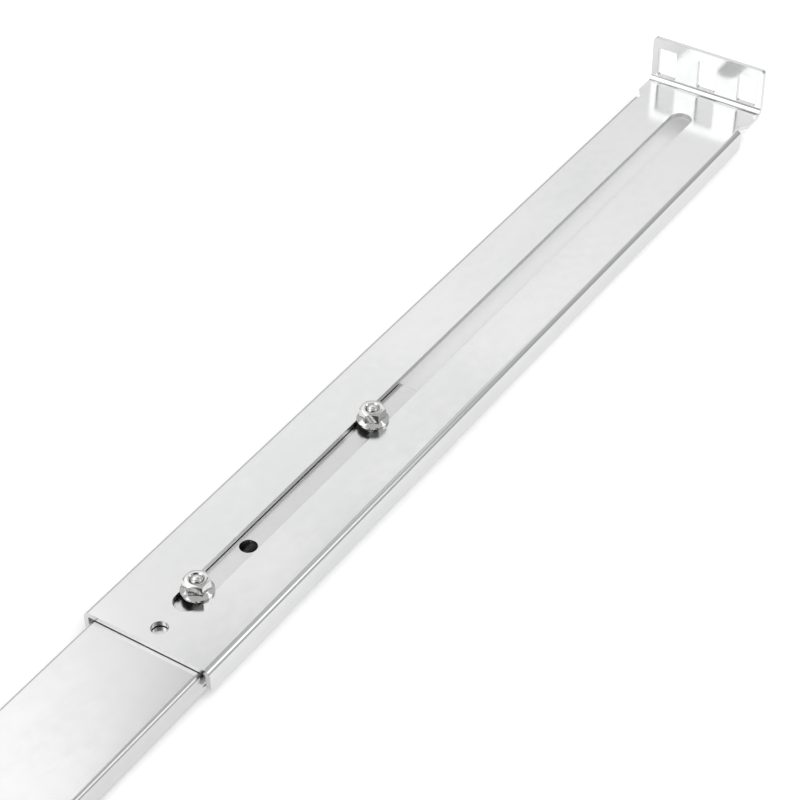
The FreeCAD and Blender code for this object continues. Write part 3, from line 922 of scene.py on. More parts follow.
# ---- Slide members ----
@dataclass(frozen=True)
class SlideSection:
    """The sizes of the nested sections of a slide and the ball lines that they share."""

    width: float = 38.4 * MM
    depth: float = 10.0 * MM
    outer_sheet: float = 1.2 * MM
    middle_sheet: float = 1.0 * MM
    inner_sheet: float = 1.0 * MM
    race: float = 1.8 * MM  # radius of a race's inside
    outer_ball_depth: float = 6.0 * MM
    outer_lip: float = 42.0
    neck: float = 25.0
    neck_radius: float = 0.9 * MM
    corner: float = 0.9 * MM
    middle_lip: float = 45.0
    inner_lip: float = 15.0
    inner_neck: float = 55.0
    inner_corner: float = 1.0 * MM
    web_gap: float = 0.8 * MM

    @property
    def outer_ball(self) -> Point2:
        """Centre of the outer ball, across and in depth."""
        return (self.width / 2 - self.outer_sheet - self.race, self.outer_ball_depth)

    @property
    def middle_web(self) -> float:
        """Depth of the middle of the middle member's web."""
        return self.outer_sheet + self.web_gap + self.middle_sheet / 2

    @property
    def middle_race(self) -> float:
        """Radius of the middle member's sheet round a ball."""
        return self.race + self.middle_sheet / 2

    @property
    def ball_line(self) -> float:
        """Slope of the line through both balls, in degrees."""
        drop = self.outer_ball_depth - self.middle_web - self.middle_race
        return math.degrees(math.asin(drop / (2 * self.middle_race)))

    @property
    def inner_ball(self) -> Point2:
        """Centre of the inner ball, across and in depth."""
        run = 2 * self.middle_race * math.cos(math.radians(self.ball_line))
        return (self.outer_ball[0] - run, self.middle_web + self.middle_race)

    @property
    def inner_web(self) -> float:
        """Depth of the middle of the inner member's web."""
        return self.depth - self.inner_sheet / 2

    def walled(self, race: Bend, web: float, corner_radius: float, side: int) -> Path:
        """A member with a wall between its web and its race, from its centre line outward.

        Args:
            race: The stretch round the ball. It leaves the ball for the wall at its start.
            web: Depth of the middle of its web.
            corner_radius: Of the bend between web and wall.
            side: 1 where the wall lies outside the ball, -1 where it lies inside.

        Returns:
            The stretches of its centre line.
        """
        neck = race.place(race.start, race.radius + self.neck_radius)
        wall = neck[0] - side * self.neck_radius
        corner = (wall - corner_radius, web + side * corner_radius)
        facing = 180 if side > 0 else 0
        return [
            Straight((0.0, web), (corner[0], web)),
            Bend(corner, corner_radius, -side * 90, 0),
            Straight((wall, corner[1]), (wall, neck[1])),
            Bend(neck, self.neck_radius, facing, race.start + side * 180),
            race,
        ]

    def outer(self) -> Path:
        """The outer member, from its centre line outward."""
        race = Bend(self.outer_ball, self.race + self.outer_sheet / 2, -self.neck, self.outer_lip)
        return self.walled(race, self.outer_sheet / 2, self.corner, 1)

    def middle(self) -> Path:
        """The middle member, from its centre line outward."""
        return [
            Straight((0.0, self.middle_web), (self.inner_ball[0], self.middle_web)),
            Bend(self.inner_ball, self.middle_race, -90, self.ball_line),
            Bend(self.outer_ball, self.middle_race, 180 + self.ball_line, 180 - self.middle_lip),
        ]

    def inner(self) -> Path:
        """The inner member, from its centre line outward."""
        start, end = 180 - self.inner_neck, 180 + self.inner_lip
        race = Bend(self.inner_ball, self.race + self.inner_sheet / 2, start, end)
        return self.walled(race, self.inner_web, self.inner_corner, -1)


@dataclass
class Slide:
    """The three roll-formed members of a slide."""

    rails: Rails
    section: SlideSection = field(default_factory=SlideSection)
    screw_hole: float = 5.3 * MM
    screw_from_rear: float = 83.7 * MM
    access_hole: float = 10.0 * MM
    chassis_hole: float = 4.5 * MM
    chassis_first: float = 60.0 * MM
    chassis_pitch: float = 360.0 * MM
    chassis_holes: int = 2
    rivet_hole: float = 4.1 * MM
    tab_from_front: float = 12.0 * MM
    tab_across: float = 5.3 * MM
    tab_width: float = 3.0 * MM
    tab_height: float = 2.3 * MM
    tab_corner: float = 0.6 * MM
    window_corner: float = 0.3 * MM

    def member(self, half_path: Path, sheet: float, node: str) -> Mesh:
        """A straight bent member, without holes.

        Args:
            half_path: Its section from the centre line outward.
            sheet: Its thickness.
            node: The node whose length it has.

        Returns:
            Its mesh.
        """
        low, high = self.rails.places.span(node)
        outline = [(across, self.rails.places.height(depth)) for across, depth in folded(half_path, sheet)]
        return self.rails.shop.bar(outline, "X", low.x, high.x)

    def through(self, x: float, diameter: float, depth: float) -> Mesh:
        """A round punch at a place along the slide, through a web whose middle is at a depth."""
        height = self.rails.places.height(depth)
        return self.rails.shop.bar(disc((x, 0.0), diameter / 2, count=48), "Z", height - CLEAR, height + CLEAR)

    def build(self) -> None:
        """Makes the outer, middle and inner members of both rails."""
        shop, places, section = self.rails.shop, self.rails.places, self.section
        screw = places.rear - self.screw_from_rear
        outer = self.member(section.outer(), section.outer_sheet, "outer_member")
        outer = shop.worked(outer, Cut.AWAY, self.through(screw, self.screw_hole, section.outer_sheet / 2))
        self.rails.set_down(outer, "outer_member_sheet", "outer_member", SLIDE_STEEL)

        middle = self.member(section.middle(), section.middle_sheet, "middle_member")
        tab = places.span("middle_member")[0].x + self.tab_from_front
        lanced = tab + section.middle_sheet
        near, far = self.tab_across - self.tab_width / 2, self.tab_across + self.tab_width / 2
        web = places.height(section.middle_web)
        window = soft_box((lanced, near), (lanced + self.tab_height, far), self.window_corner)
        stop = soft_box((near, web - section.middle_sheet / 2 - self.tab_height), (far, web), self.tab_corner)
        middle = shop.worked(
            middle,
            Cut.AWAY,
            self.through(screw, self.access_hole, section.middle_web),
            shop.bar(window, "Z", web - CLEAR, web + CLEAR),
        )
        middle = shop.worked(middle, Cut.ONTO, shop.bar(stop, "X", tab, lanced))
        self.rails.set_down(middle, "middle_member_sheet", "middle_member", SLIDE_STEEL)

        inner = self.member(section.inner(), section.inner_sheet, "inner_member")
        first = places.span("inner_member")[0].x + self.chassis_first
        hole = self.through(0.0, self.chassis_hole, section.inner_web)
        holes = shop.row(hole, (first, 0, 0), (self.chassis_pitch, 0, 0), self.chassis_holes)
        rivet = self.through(places.pivot(), self.rivet_hole, section.inner_web)
        self.rails.set_down(
            shop.worked(inner, Cut.AWAY, holes, rivet), "inner_member_sheet", "inner_member", SLIDE_STEEL
        )


# ---- Balls, retainers and bumpers ----
@dataclass
class BallRun:
    """One retainer with its two rows of balls."""

    rails: Rails
    retainer: str  # node of the retainer
    balls: str  # node of its balls
    ball_place: Point2  # across, depth
    ball: float = 3.0 * MM
    play: float = 0.15 * MM
    sheet: float = 0.4 * MM
    fold: float = 0.5 * MM  # radius of the middle of the sheet
    end_margin: float = 8.0 * MM
    count: int = 5
    windows: int = 3
    window_corner: float = 1.5 * MM
    rib: float = 14.0 * MM
    rail: float = 3.0 * MM
    ball_turns: int = 24

    def build(self) -> None:
        """Makes the retainer and the balls of both rails."""
        shop, places = self.rails.shop, self.rails.places
        low, high = places.span(self.retainer)
        half = (high.y - low.y) / 2 - self.sheet / 2
        top = high.z - self.sheet / 2
        across, depth = self.ball_place
        height = places.height(depth)
        strip = shop.bar(folded(channel_path(half, top, self.fold, low.z), self.sheet), "X", low.x, high.x)
        first = (low.x + self.end_margin, 0, 0)
        pitch = ((high.x - low.x - 2 * self.end_margin) / (self.count - 1), 0, 0)
        pocket = shop.bar(disc((0.0, height), self.ball / 2 + self.play, count=32), "Y", -half - CLEAR, half + CLEAR)
        step = (high.x - low.x - self.rib) / self.windows
        inside = half - self.sheet / 2 - self.rail
        window = soft_box((0.0, -inside), (step - self.rib, inside), self.window_corner)
        punch = shop.bar(window, "Z", top - CLEAR, top + CLEAR)
        strip = shop.worked(
            strip,
            Cut.AWAY,
            shop.row(pocket, first, pitch, self.count),
            shop.row(punch, (low.x + self.rib, 0, 0), (step, 0, 0), self.windows),
        )
        self.rails.set_down(
            strip, f"{self.retainer}_strip", self.retainer, RETAINER_STEEL, rounding=0.06 * MM, segments=1
        )

        half_turn, radius = self.ball_turns // 2, self.ball / 2
        circle = [math.pi * (i / half_turn - 0.5) for i in range(half_turn + 1)]
        profile = [(radius * max(0.0, math.cos(a)), radius * math.sin(a)) for a in circle]
        rows = [
            shop.row(revolve(profile, self.ball_turns), (first[0], side.value * across, height), pitch, self.count)
            for side in Side
        ]
        self.rails.set_down(joined(rows), f"{self.balls}_row", self.balls, BEARING_STEEL, rounding=0.0)


@dataclass
class Bumper:
    """A moulded stop with a hollow that opens to the rear."""

    rails: Rails
    node: str
    wall: float = 2.0 * MM
    rib: float = 1.0 * MM
    hollow_corner: float = 0.5 * MM

    def build(self) -> None:
        """Makes the stop of both rails."""
        bar, worked = self.rails.shop.bar, self.rails.shop.worked
        low, high = self.rails.places.span(self.node)
        half = (high.y - low.y) / 2
        body = soft_box((low.x, -half), (high.x + 2 * self.wall, half), self.wall)
        keep = soft_box((low.x - CLEAR, -half - CLEAR), (high.x, half + CLEAR), CLEAR / 2)
        hollow = soft_box(
            (-half + self.wall, low.z + self.wall), (half - self.wall, high.z - self.wall), self.hollow_corner
        )
        ribs = [
            bar(
                soft_box((y - self.rib / 2, low.z), (y + self.rib / 2, high.z), self.rib / 4),
                "X", low.x + self.wall, high.x - self.wall / 2,
            )
            for y in (-half / 3, half / 3)
        ]
        block = worked(bar(body, "Z", low.z, high.z), Cut.WITHIN, bar(keep, "Z", low.z - CLEAR, high.z + CLEAR))
        block = worked(block, Cut.AWAY, bar(hollow, "X", low.x + self.wall, high.x + CLEAR))
        block = joined([block, *ribs])
        self.rails.set_down(block, f"{self.node}_moulding", self.node, BLACK_NYLON, MOULD_ROUNDING, segments=3)


# ---- Release lever ----
@dataclass
class Lever:
    """The moulded release lever and the rivet that it turns on."""

    rails: Rails
    hub: float = 5.0 * MM
    arm: float = 4.5 * MM
    arm_corner: float = 0.4 * MM
    finger: float = 26.0 * MM
    pad: float = 5.5 * MM
    hook_face: float = 34.0 * MM
    hook: float = 4.0 * MM
    hook_corner: float = 0.5 * MM
    hook_rise: float = 1.7 * MM
    offset: float = 5.3 * MM
    spring: float = 1.0 * MM
    spring_length: float = 20.0 * MM
    spring_corner: float = 0.3 * MM
    bore: float = 4.1 * MM
    grips: int = 5
    grip_pitch: float = 1.7 * MM
    groove: float = 0.7 * MM
    groove_depth: float = 0.5 * MM
    groove_corner: float = 0.3 * MM
    rivet: float = 4.0 * MM
    rivet_ease: float = 0.2 * MM
    rivet_head: float = 6.5 * MM
    rivet_head_height: float = 0.8 * MM
    rivet_steps: int = 8  # over the dome of its head

    def strip(self, start: float, end: float, across: float, corner: float) -> Outline:
        """The plan of an arm of the lever from one place along the slide to another."""
        return soft_box((start, across - self.arm / 2), (end, across + self.arm / 2), corner)

    def build(self) -> None:
        """Makes the lever and the rivet of both rails."""
        shop = self.rails.shop
        low, high = self.rails.places.span("release_lever")
        pivot = self.rails.places.pivot()
        bottom, plate, top = low.z, high.z - self.hook_rise, high.z
        finger, hook = pivot - self.finger, pivot + self.hook_face
        end = hook + self.hook
        parts = [
            (disc((pivot, 0.0), self.hub), plate),
            (disc((finger, 0.0), self.pad), plate),
            (self.strip(finger, pivot, 0.0, self.arm_corner), plate),
            (self.strip(pivot, end, self.offset, self.hook_corner), plate),
            (self.strip(hook, end, self.offset, self.hook_corner), top),
            (
                soft_box((pivot - self.spring_length, self.hub - self.spring), (pivot, self.hub), self.spring_corner),
                plate,
            ),
        ]
        bars = [shop.bar(outline, "Z", bottom, height) for outline, height in parts]
        body = shop.worked(bars[0], Cut.ONTO, *bars[1:])
        bore = shop.bar(disc((pivot, 0.0), self.bore / 2), "Z", bottom - CLEAR, top + CLEAR)
        groove = soft_box((-self.groove / 2, -self.pad), (self.groove / 2, self.pad), self.groove_corner)
        grips = shop.row(
            shop.bar(groove, "Z", bottom - CLEAR, bottom + self.groove_depth),
            (finger - self.grip_pitch * (self.grips - 1) / 2, 0, 0), (self.grip_pitch, 0, 0), self.grips,
        )
        body = shop.worked(body, Cut.AWAY, bore, grips)
        self.rails.set_down(body, "release_lever_moulding", "release_lever", BLUE_NYLON, MOULD_ROUNDING, segments=3)
        self.build_rivet(pivot)

    def build_rivet(self, pivot: float) -> None:
        """Makes the rivet at a place along the slide, its shank end rolled flat and its head domed."""
        low, high = self.rails.places.span("lever_rivet")
        head, shank, rise, ease = self.rivet_head / 2, self.rivet / 2, self.rivet_head_height, self.rivet_ease
        slopes = [math.pi / 2 * i / self.rivet_steps for i in range(self.rivet_steps)]
        dome = [(head * math.cos(t), high.z - rise + rise * math.sin(t)) for t in slopes]
        foot = [(0.0, low.z), (shank - ease, low.z), (shank, low.z + ease), (shank, high.z - rise)]
        mesh = turned(revolve([*foot, *dome, (0.0, high.z)], count=48), Matrix.Translation((pivot, 0, 0)))
        self.rails.set_down(mesh, "lever_rivet_turned", "lever_rivet", FASTENER_STEEL, rounding=0.05 * MM, segments=1)


# ---- Brackets ----
@dataclass
class Bracket:
    """A bent channel with its ear: what both brackets share."""

    rails: Rails
    node: str
    facing: int  # 1 where the ear is at the rear
    width: float = 43.2 * MM
    sheet: float = 1.6 * MM
    bend: float = 1.2 * MM  # radius of the middle of the sheet
    chamfer: float = 1.3 * MM
    tab: float = 13.7 * MM
    neck_width: float = 38.8 * MM
    neck_length: float = 2.2 * MM
    ear_width: float = 43.8 * MM
    ear_bend: float = 3.0 * MM  # radius of the middle of the sheet
    ear_corner: float = 1.5 * MM
    hole_width: float = 7.2 * MM
    hole_height: float = 11.1 * MM
    hole_raise: float = 2.1 * MM
    hole_corner: float = 0.8 * MM
    hole_pitch: float = 15.875 * MM
    holes: int = 3
    slot_width: float = 7.9 * MM
    overlap: float = 5.0 * MM  # of the tab's strip into the channel's web

    def channel(self, start: float, end: float, bottom: float, top: float) -> Mesh:
        """The channel between two places, with its corners cut off.

        Args:
            start: Its front end.
            end: Its rear end.
            bottom: Height of its flanges' edges.
            top: Height of its web's upper face.

        Returns:
            Its mesh without holes.
        """
        shop = self.rails.shop
        path = channel_path(self.width / 2 - self.sheet / 2, top - self.sheet / 2, self.bend, bottom)
        body = shop.bar(folded(path, self.sheet), "X", start, end)
        corners = []
        for x, away in ((start, -1), (end, 1)):
            edge = away * CLEAR
            corner = [
                (x + edge, bottom - CLEAR),
                (x - away * self.chamfer - edge, bottom - CLEAR),
                (x + edge, bottom + self.chamfer + CLEAR),
            ]
            corners.append(shop.bar(corner, "Y", -self.width, self.width))
        return shop.worked(body, Cut.AWAY, *corners)

    def ear(self, channel_end: float, web_top: float, top: float) -> Mesh:
        """The tab beyond the channel, its bend and the ear that stands on it.

        Args:
            channel_end: Where the channel ends.
            web_top: Height of the web's upper face.
            top: Height of the ear's top.

        Returns:
            Its mesh, with the rack's holes.
        """
        shop, back, face = self.rails.shop, -self.overlap, self.tab + self.sheet
        middle, under = web_top - self.sheet / 2, web_top - 2 * self.sheet
        bend = (self.tab - (self.ear_bend - self.sheet / 2), middle + self.ear_bend)
        standing = bend[0] + self.ear_bend
        path: Path = [
            Straight((back, middle), (bend[0], middle)),
            Bend(bend, self.ear_bend, -90, 0),
            Straight((standing, bend[1]), (standing, top)),
        ]
        half, neck = self.ear_width / 2, self.neck_width / 2
        flare = self.neck_length + (half - neck)
        edge = [(back - CLEAR, neck), (self.neck_length, neck), (flare, half), (face + CLEAR, half)]
        plan = [(x, -y) for x, y in edge] + edge[::-1]
        front = soft_box((-half, under - self.ear_corner), (half, top), self.ear_corner)
        body = shop.worked(
            shop.bar(tidy(both_faces(path, self.sheet)), "Y", -self.ear_width, self.ear_width),
            Cut.WITHIN,
            shop.bar(plan, "Z", under, top + CLEAR),
            shop.bar(front, "X", back - 2 * CLEAR, face + 2 * CLEAR),
        )
        wide, low = self.hole_width / 2, web_top + self.hole_raise
        hole = soft_box((-wide, low), (wide, low + self.hole_height), self.hole_corner, count=5)
        punch = shop.bar(hole, "X", self.tab - CLEAR, face + CLEAR)
        first = -self.hole_pitch * (self.holes - 1) / 2
        body = shop.worked(body, Cut.AWAY, shop.row(punch, (0, first, 0), (0, self.hole_pitch, 0), self.holes))
        return turned(body, Matrix.Translation((channel_end, 0, 0)) @ Matrix.Diagonal((self.facing, 1, 1, 1)))

    def build(self) -> None:
        """Makes the bracket of both rails."""
        shop = self.rails.shop
        low, high = self.rails.places.span(self.node)
        top = self.web_top()
        reach = self.tab + self.sheet
        start, end = (low.x, high.x - reach) if self.facing > 0 else (low.x + reach, high.x)
        body = self.channel(start, end, low.z, top)
        body = shop.worked(body, Cut.ONTO, self.ear(end if self.facing > 0 else start, top, high.z))
        holes = self.web_holes(start, end)
        body = shop.worked(
            body, Cut.AWAY, *[shop.bar(hole, "Z", top - self.sheet - CLEAR, top + CLEAR) for hole in holes]
        )
        self.rails.set_down(body, f"{self.node}_sheet", self.node, BRACKET_STEEL, rounding=0.14 * MM)

    def web_top(self) -> float:
        """Height of the web's upper face."""
        return self.rails.places.back + self.sheet

    def web_holes(self, start: float, end: float) -> list[Outline]:
        """Outlines of the holes through the web."""
        raise NotImplementedError


@dataclass
class RearBracket(Bracket):
    """The adjustable bracket, with its long slot and the tool hole at its mouth."""

    run_gap: float = 0.3 * MM
    slot_front: float = 14.4 * MM
    slot_rear: float = 0.9 * MM
    tool_hole: float = 5.0 * MM
    tool_margin: float = 6.2 * MM

    def web_top(self) -> float:
        """Height of the web's upper face, a running gap above the slide."""
        return self.rails.places.back + self.run_gap + self.sheet

    def web_holes(self, start: float, end: float) -> list[Outline]:
        """The adjusting slot and the tool hole."""
        half = self.slot_width / 2
        slot = soft_box((start + self.slot_front, -half), (end - self.slot_rear, half), half, count=20)
        return [slot, disc((start + self.tool_margin, 0.0), self.tool_hole / 2)]


@dataclass
class FrontBracket(Bracket):
    """The short bracket at the front posts."""

    first_stud: float = 20.0 * MM  # from the slide's front
    stud_spacing: float = 40.0 * MM
    slot_play: float = 2.0 * MM

    def web_holes(self, start: float, end: float) -> list[Outline]:
        """The slot over the two front studs."""
        half = self.slot_width / 2
        first = self.rails.places.front + self.first_stud
        reach = half + self.slot_play
        return [soft_box((first - reach, -half), (first + self.stud_spacing + reach, half), half, count=20)]


# ---- Studs and nuts ----
@dataclass
class Fasteners:
    """Threaded studs on the slide's back and the flange nuts that clamp the brackets."""

    rails: Rails
    stud: float = 4.0 * MM
    thread: float = 0.22 * MM  # depth
    thread_pitch: float = 0.7 * MM
    thread_turns: int = 40  # corners round the stud
    thread_steps: int = 8  # in a pitch
    dome: float = 1.3 * MM
    dome_steps: int = 7
    dome_inset: float = 0.6  # of the dome's foot, as a share of the thread's depth
    dome_fullness: float = 0.8  # a round dome has 1, and a fuller one less
    in_row: int = 2  # studs under each bracket
    across_flats: float = 7.0 * MM
    flange: float = 9.8 * MM
    flange_edge: float = 0.75 * MM
    flange_rise: float = 1.45 * MM
    flange_ease: float = 0.12 * MM
    flange_ease_top: float = 0.1 * MM
    flange_shoulder: float = 0.15 * MM  # end of the cone, in from the corners of the hexagon
    flange_top: float = 0.45 * MM  # the same, once it is rounded
    flange_round: float = 0.2 * MM  # how far down the rounding starts
    nut_height: float = 4.65 * MM
    nut_foot: float = 0.1 * MM
    envelope_play: float = 0.1 * MM
    corner_drop: float = 0.48 * MM
    top_ring: float = 0.25 * MM  # lost at the top to the chamfer
    bore_play: float = 0.03 * MM
    foot_sink: float = 0.3 * MM
    top_sink: float = 0.38 * MM
    tip: float = 0.6 * MM
    rear_from_end: float = 20.7 * MM
    rear_spacing: float = 86.6 * MM
    front_from_end: float = 20.0 * MM
    front_spacing: float = 40.0 * MM
    plate: float = 1.6 * MM
    run_gap: float = 0.3 * MM
    lift: float = 0.03 * MM  # of the nuts off the sheet, so that the bracket slides under them

    def stud_mesh(self, length: float) -> Mesh:
        """A threaded stud of a length, with a domed tip, standing at the origin."""
        radius, turns, pitch = self.stud / 2, self.thread_turns, self.thread_pitch
        step = pitch / self.thread_steps
        plain = length - self.dome
        rings = []
        for height in [i * step for i in range(int(plain / step) + 1)] + [plain]:
            fade = min(1.0, height / pitch, (length - height) / pitch)
            waves = [abs(2 * ((height / pitch - i / turns) % 1.0) - 1) for i in range(turns)]
            corners = [
                around((0.0, 0.0), radius - self.thread * fade * wave, math.tau * i / turns)
                for i, wave in enumerate(waves)
            ]
            rings.append([(*corner, height) for corner in corners])
        for i in range(1, self.dome_steps):
            slope = math.pi / 2 * i / self.dome_steps
            size = (radius - self.thread * self.dome_inset) * math.cos(slope) ** self.dome_fullness
            height = plain + self.dome * math.sin(slope)
            rings.append([(*point, height) for point in disc((0.0, 0.0), size, turns)])
        return lofted(rings)

    def nut_mesh(self) -> Mesh:
        """A flange nut with chamfered corners and a countersunk bore, standing at the origin."""
        shop, height, ease = self.rails.shop, self.nut_height, self.flange_ease
        corner, edge, bore = self.across_flats / math.sqrt(3), self.flange / 2, self.stud / 2 + self.bore_play
        widest = corner + self.envelope_play
        envelope = revolve([
            (0.0, 0.0), (widest, 0.0), (widest, height - self.corner_drop),
            (self.across_flats / 2 - self.top_ring, height), (0.0, height),
        ])
        hexagon = shop.bar(disc((0.0, 0.0), corner, count=6), "Z", self.nut_foot, height)
        skirt = revolve([
            (0.0, 0.0), (edge - ease, 0.0), (edge, ease), (edge, self.flange_edge - self.flange_ease_top),
            (edge - ease, self.flange_edge), (corner - self.flange_shoulder, self.flange_rise - self.flange_round),
            (corner - self.flange_top, self.flange_rise), (0.0, self.flange_rise),
        ])
        drill = revolve([
            (0.0, -CLEAR), (bore + CLEAR + self.foot_sink, -CLEAR), (bore, self.foot_sink),
            (bore, height - self.top_sink), (bore + CLEAR + self.top_sink, height + CLEAR), (0.0, height + CLEAR),
        ])
        body = shop.worked(hexagon, Cut.WITHIN, envelope)
        return shop.worked(shop.worked(body, Cut.ONTO, skirt), Cut.AWAY, drill)

    def rows(self) -> list[Point3]:
        """First place, spacing and seat height of each pair of studs."""
        places = self.rails.places
        front_seat = places.back + self.plate
        return [
            (places.front + self.front_from_end, self.front_spacing, front_seat),
            (places.rear - self.rear_from_end - self.rear_spacing, self.rear_spacing, front_seat + self.run_gap),
        ]

    def build(self) -> None:
        """Makes the studs and nuts of both rails."""
        shop, foot = self.rails.shop, self.rails.places.back
        studs, nuts = [], []
        for first, spacing, seat in self.rows():
            length = seat + self.nut_height + self.tip - foot
            studs.append(shop.row(self.stud_mesh(length), (first, 0, foot), (spacing, 0, 0), self.in_row))
            nuts.append(shop.row(self.nut_mesh(), (first, 0, seat + self.lift), (spacing, 0, 0), self.in_row))
        self.rails.set_down(joined(studs), "threaded_studs", "weld_studs", FASTENER_STEEL, rounding=0.0)
        self.rails.set_down(joined(nuts), "hexagon_nuts", "flange_nuts", FASTENER_STEEL, rounding=0.07 * MM)


# ---- Studio ----
@dataclass(frozen=True)
class Panel:
    """A plain panel that only reflections show, facing the middle of the pair."""

    name: str
    place: Point3  # of its middle
    size: Point2
    level: float  # how bright it is, where 1 is white
    fall: float = 0.0  # share of the level that is lost from its middle to its corners


PANELS = (
    Panel("web_panel", (1.0, 0.67, 0.86), (1.6, 0.9), 1.08, 0.5),
    Panel("left_panel", (0.1, 0.52, 0.6), (0.6, 0.52), 1.5, 0.2),
    Panel("ear_panel", (-0.95, 0.62, 0.85), (0.8, 0.9), 1.75),
    Panel("right_panel", (0.69, -0.70, 0.83), (0.46, 0.55), 1.6),
    Panel("far_card", (1.55, -0.95, 0.6), (0.8, 0.5), 0.45),
    Panel("near_card", (-0.62, -0.52, 0.5), (1.05, 0.8), 0.03),
)


@dataclass
class Studio:
    """Pale floor, soft light and the camera."""

    middle: Point3 = (0.0, 0.1, 0.0)  # what the lamp and the panels face
    key_place: Point3 = (-0.25, -1.15, 1.45)
    key_side: float = 1.6
    key_level: float = 2.6  # how bright the lamp's face is, where 1 is white
    floor_half: float = 3.0
    floor_drop: float = 0.2 * MM
    floor_glow: float = 0.2
    floor_greys: Point3 = (0.95, 0.79, 0.85)  # as the camera sees it, as it is mirrored, and as it lights
    world_levels: Point3 = (1.0, 0.55, 0.75)  # the same three
    horizon_radius: float = 2.6
    horizon_heights: Point2 = (0.03, 0.36)
    horizon_steps: int = 48
    horizon_level: float = 0.4
    top_card_along: Point2 = (0.27, 0.72)
    top_card_across: Point2 = (0.27, 0.355)
    top_card_height: float = 0.565
    top_card_level: float = 0.12
    flag_inset: float = 1.0 * MM  # from the rear faces of the ears
    flag_edges: Point2 = (-16.0 * MM, 18.5 * MM)  # along Y, from a rail's centre line
    flag_heights: Point2 = (1.0 * MM, 10.5 * MM)
    eye: Point3 = (-0.2979, -0.1931, 0.4642)
    aim: Point3 = (0.1515, 0.1082, 0.0119)
    roll: float = -0.676
    lens: float = 104.94
    sensor: float = 36.0
    clip: Point2 = (0.01, 20.0)

    def build(self) -> None:
        """Makes the floor, the lamp, the reflected panels, the world and the camera."""
        self.floor()
        self.world()
        self.key_lamp()
        for panel in PANELS:
            self.panel(panel)
        self.horizon()
        self.top_card()
        self.flags()
        self.camera()
        log.info("studio: floor, world, key lamp, panels, horizon, camera")

    @staticmethod
    def looking(place: Point3, target: Point3) -> Matrix:
        """A turn that points -Z from a place to a target."""
        way = Vector(target) - Vector(place)
        return Matrix.Translation(place) @ way.to_track_quat("-Z", "Y").to_matrix().to_4x4()

    def key_lamp(self) -> None:
        """Adds the soft square lamp."""
        data = bpy.data.lights.new("key", "AREA")
        data.shape = "RECTANGLE"
        data.size = data.size_y = self.key_side
        data.energy = self.key_level * math.pi * self.key_side ** 2
        lamp = bench(data, "key")
        lamp.matrix_world = self.looking(self.key_place, self.middle)
        lamp.visible_glossy = False

    def panel(self, panel: Panel) -> None:
        """Adds a panel."""
        turn = self.looking(panel.place, self.middle)
        corners = [(x * panel.size[0] / 2, y * panel.size[1] / 2, 0) for x, y in ((-1, -1), (1, -1), (1, 1), (-1, 1))]
        self.reflected(panel.name, [turn @ Vector(c) for c in corners], [(0, 1, 2, 3)], panel.level, panel.fall)

    def horizon(self) -> None:
        """Adds the dim band round the floor that gives bends and nuts their dark lines."""
        count = self.horizon_steps
        points = [(*p, z) for z in self.horizon_heights for p in disc((0.0, 0.0), self.horizon_radius, count)]
        faces = [(i, (i + 1) % count, (i + 1) % count + count, i + count) for i in range(count)]
        self.reflected("horizon_band", points, faces, self.horizon_level)

    def top_card(self) -> None:
        """Adds the level card above the rear ears that draws the dark line in their bends."""
        (front, rear), (right, left) = self.top_card_along, self.top_card_across
        plan = ((front, right), (rear, right), (rear, left), (front, left))
        points = [(*p, self.top_card_height) for p in plan]
        self.reflected("top_card", points, [(0, 1, 2, 3)], self.top_card_level)

    def flags(self) -> None:
        """Adds the cards that keep light out of the rear ends of both channels."""
        rear = CAD_BOX[1].x - self.flag_inset
        centre = Places.read().centre
        bottom, top = self.flag_heights
        for side in Side:
            low, high = (side.value * centre + edge for edge in self.flag_edges)
            points = [(rear, low, bottom), (rear, high, bottom), (rear, high, top), (rear, low, top)]
            flag = self.reflected(f"{side.label}_flag", points, [(0, 1, 2, 3)], 0.0)
            flag.visible_glossy = False
            flag.visible_diffuse = flag.visible_shadow = True

    @staticmethod
    def staged(name: str, points: list, faces: list) -> tuple[Graph, Object]:
        """Adds a staged mesh.

        Args:
            name: Its name and its material's.
            points: Its corners.
            faces: Its faces.

        Returns:
            The empty graph of its material, and its object.
        """
        material = bpy.data.materials.new(name)
        material.use_nodes = True
        mesh = bpy.data.meshes.new(name)
        mesh.from_pydata(points, [], faces)
        mesh.materials.append(material)
        shape = bench(mesh, name)
        return Graph(material.node_tree), shape

    def reflected(self, name: str, points: list, faces: list, level: float, fall: float = 0.0) -> Object:
        """Adds a staged mesh that glows and that only reflections show.

        Args:
            name: Its name.
            points: Its corners.
            faces: Its faces.
            level: How bright it is, where 1 is white.
            fall: Share of the level that is lost towards its corners.

        Returns:
            Its object.
        """
        graph, shape = self.staged(name, points, faces)
        strength = level
        if fall:
            spread = graph.add("ShaderNodeTexCoord").outputs["Generated"]
            away = graph.add("ShaderNodeVectorMath", {0: spread, 1: (0.5, 0.5, 0.5)}, operation="DISTANCE")
            square = graph.maths("MULTIPLY", away.outputs["Value"], away.outputs["Value"])
            strength = graph.maths("MULTIPLY_ADD", square, -2 * fall * level, level)
        glow = graph.out("ShaderNodeEmission", {"Color": WHITE, "Strength": strength})
        graph.add("ShaderNodeOutputMaterial", {"Surface": glow})
        shape.visible_camera = shape.visible_diffuse = False
        shape.visible_shadow = shape.visible_transmission = False
        return shape

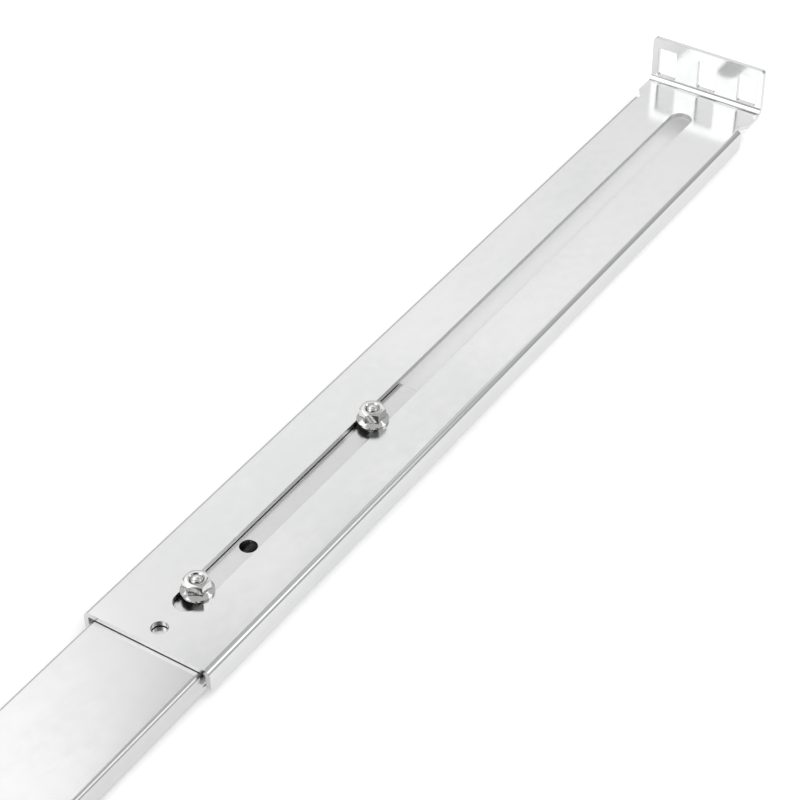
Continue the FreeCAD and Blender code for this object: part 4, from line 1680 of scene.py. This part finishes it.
    @staticmethod
    def by_ray(graph: Graph, camera: Socket, mirrored: Socket, other: Socket) -> Socket:
        """Chooses a shader by the ray that meets it.

        Args:
            graph: Of the floor's material or of the world.
            camera: What the camera sees.
            mirrored: What reflections and clear pieces show.
            other: What lights the rest.

        Returns:
            The chosen shader.
        """
        path = graph.add("ShaderNodeLightPath").outputs
        mirror = graph.maths("MAXIMUM", path["Is Glossy Ray"], path["Is Transmission Ray"])
        unseen = graph.out("ShaderNodeMixShader", {0: mirror, 1: other, 2: mirrored})
        return graph.out("ShaderNodeMixShader", {0: path["Is Camera Ray"], 1: unseen, 2: camera})

    def floor(self) -> None:
        """Adds the pale floor, which keeps the object's shadow."""
        half, ground = self.floor_half, CAD_BOX[0].z - self.floor_drop
        points = [(-half, -half, ground), (half, -half, ground), (half, half, ground), (-half, half, ground)]
        graph, _ = self.staged("studio_floor", points, [(0, 1, 2, 3)])
        glow = graph.out("ShaderNodeEmission", {"Color": WHITE, "Strength": self.floor_glow})
        paper, dimmed, plain = (
            graph.out("ShaderNodeBsdfDiffuse", {"Color": (grey, grey, grey, 1.0)}) for grey in self.floor_greys
        )
        camera, mirrored = (graph.out("ShaderNodeAddShader", {0: glow, 1: shade}) for shade in (paper, dimmed))
        graph.add("ShaderNodeOutputMaterial", {"Surface": self.by_ray(graph, camera, mirrored, plain)})

    def world(self) -> None:
        """Adds the white surround, plainer where it only lights."""
        world = bpy.data.worlds.new("studio_world")
        world.use_nodes = True
        bpy.context.scene.world = world
        graph = Graph(world.node_tree)
        camera, mirrored, other = (
            graph.out("ShaderNodeBackground", {"Color": WHITE, "Strength": level}) for level in self.world_levels
        )
        graph.add("ShaderNodeOutputWorld", {"Surface": self.by_ray(graph, camera, mirrored, other)})

    def camera(self) -> None:
        """Adds the camera."""
        data = bpy.data.cameras.new("camera")
        data.lens, data.sensor_width = self.lens, self.sensor
        data.clip_start, data.clip_end = self.clip
        camera = bench(data, "camera")
        camera.matrix_world = self.looking(self.eye, self.aim) @ Matrix.Rotation(math.radians(self.roll), 4, "Z")
        bpy.context.scene.camera = camera


def main() -> None:
    """Builds the studio, the finishes and every piece of both rails."""
    logging.basicConfig(level=logging.INFO, format="%(name)s %(message)s")
    bpy.context.scene.view_settings.view_transform = "Standard"
    Studio().build()
    effects = Effects()
    materials = {finish.slot: finish.material(effects) for finish in FINISHES}
    rails = Rails(Shop(), Places.read(), materials)
    section = SlideSection()
    Slide(rails, section).build()
    BallRun(rails, "outer_ball_retainer", "outer_balls", section.outer_ball).build()
    BallRun(rails, "inner_ball_retainer", "inner_balls", section.inner_ball).build()
    Bumper(rails, "rear_bumper").build()
    Bumper(rails, "middle_bumper").build()
    Lever(rails).build()
    RearBracket(rails, "rear_bracket", 1).build()
    FrontBracket(rails, "front_bracket", -1).build()
    Fasteners(rails).build()


if __name__ == "__main__":
    main()
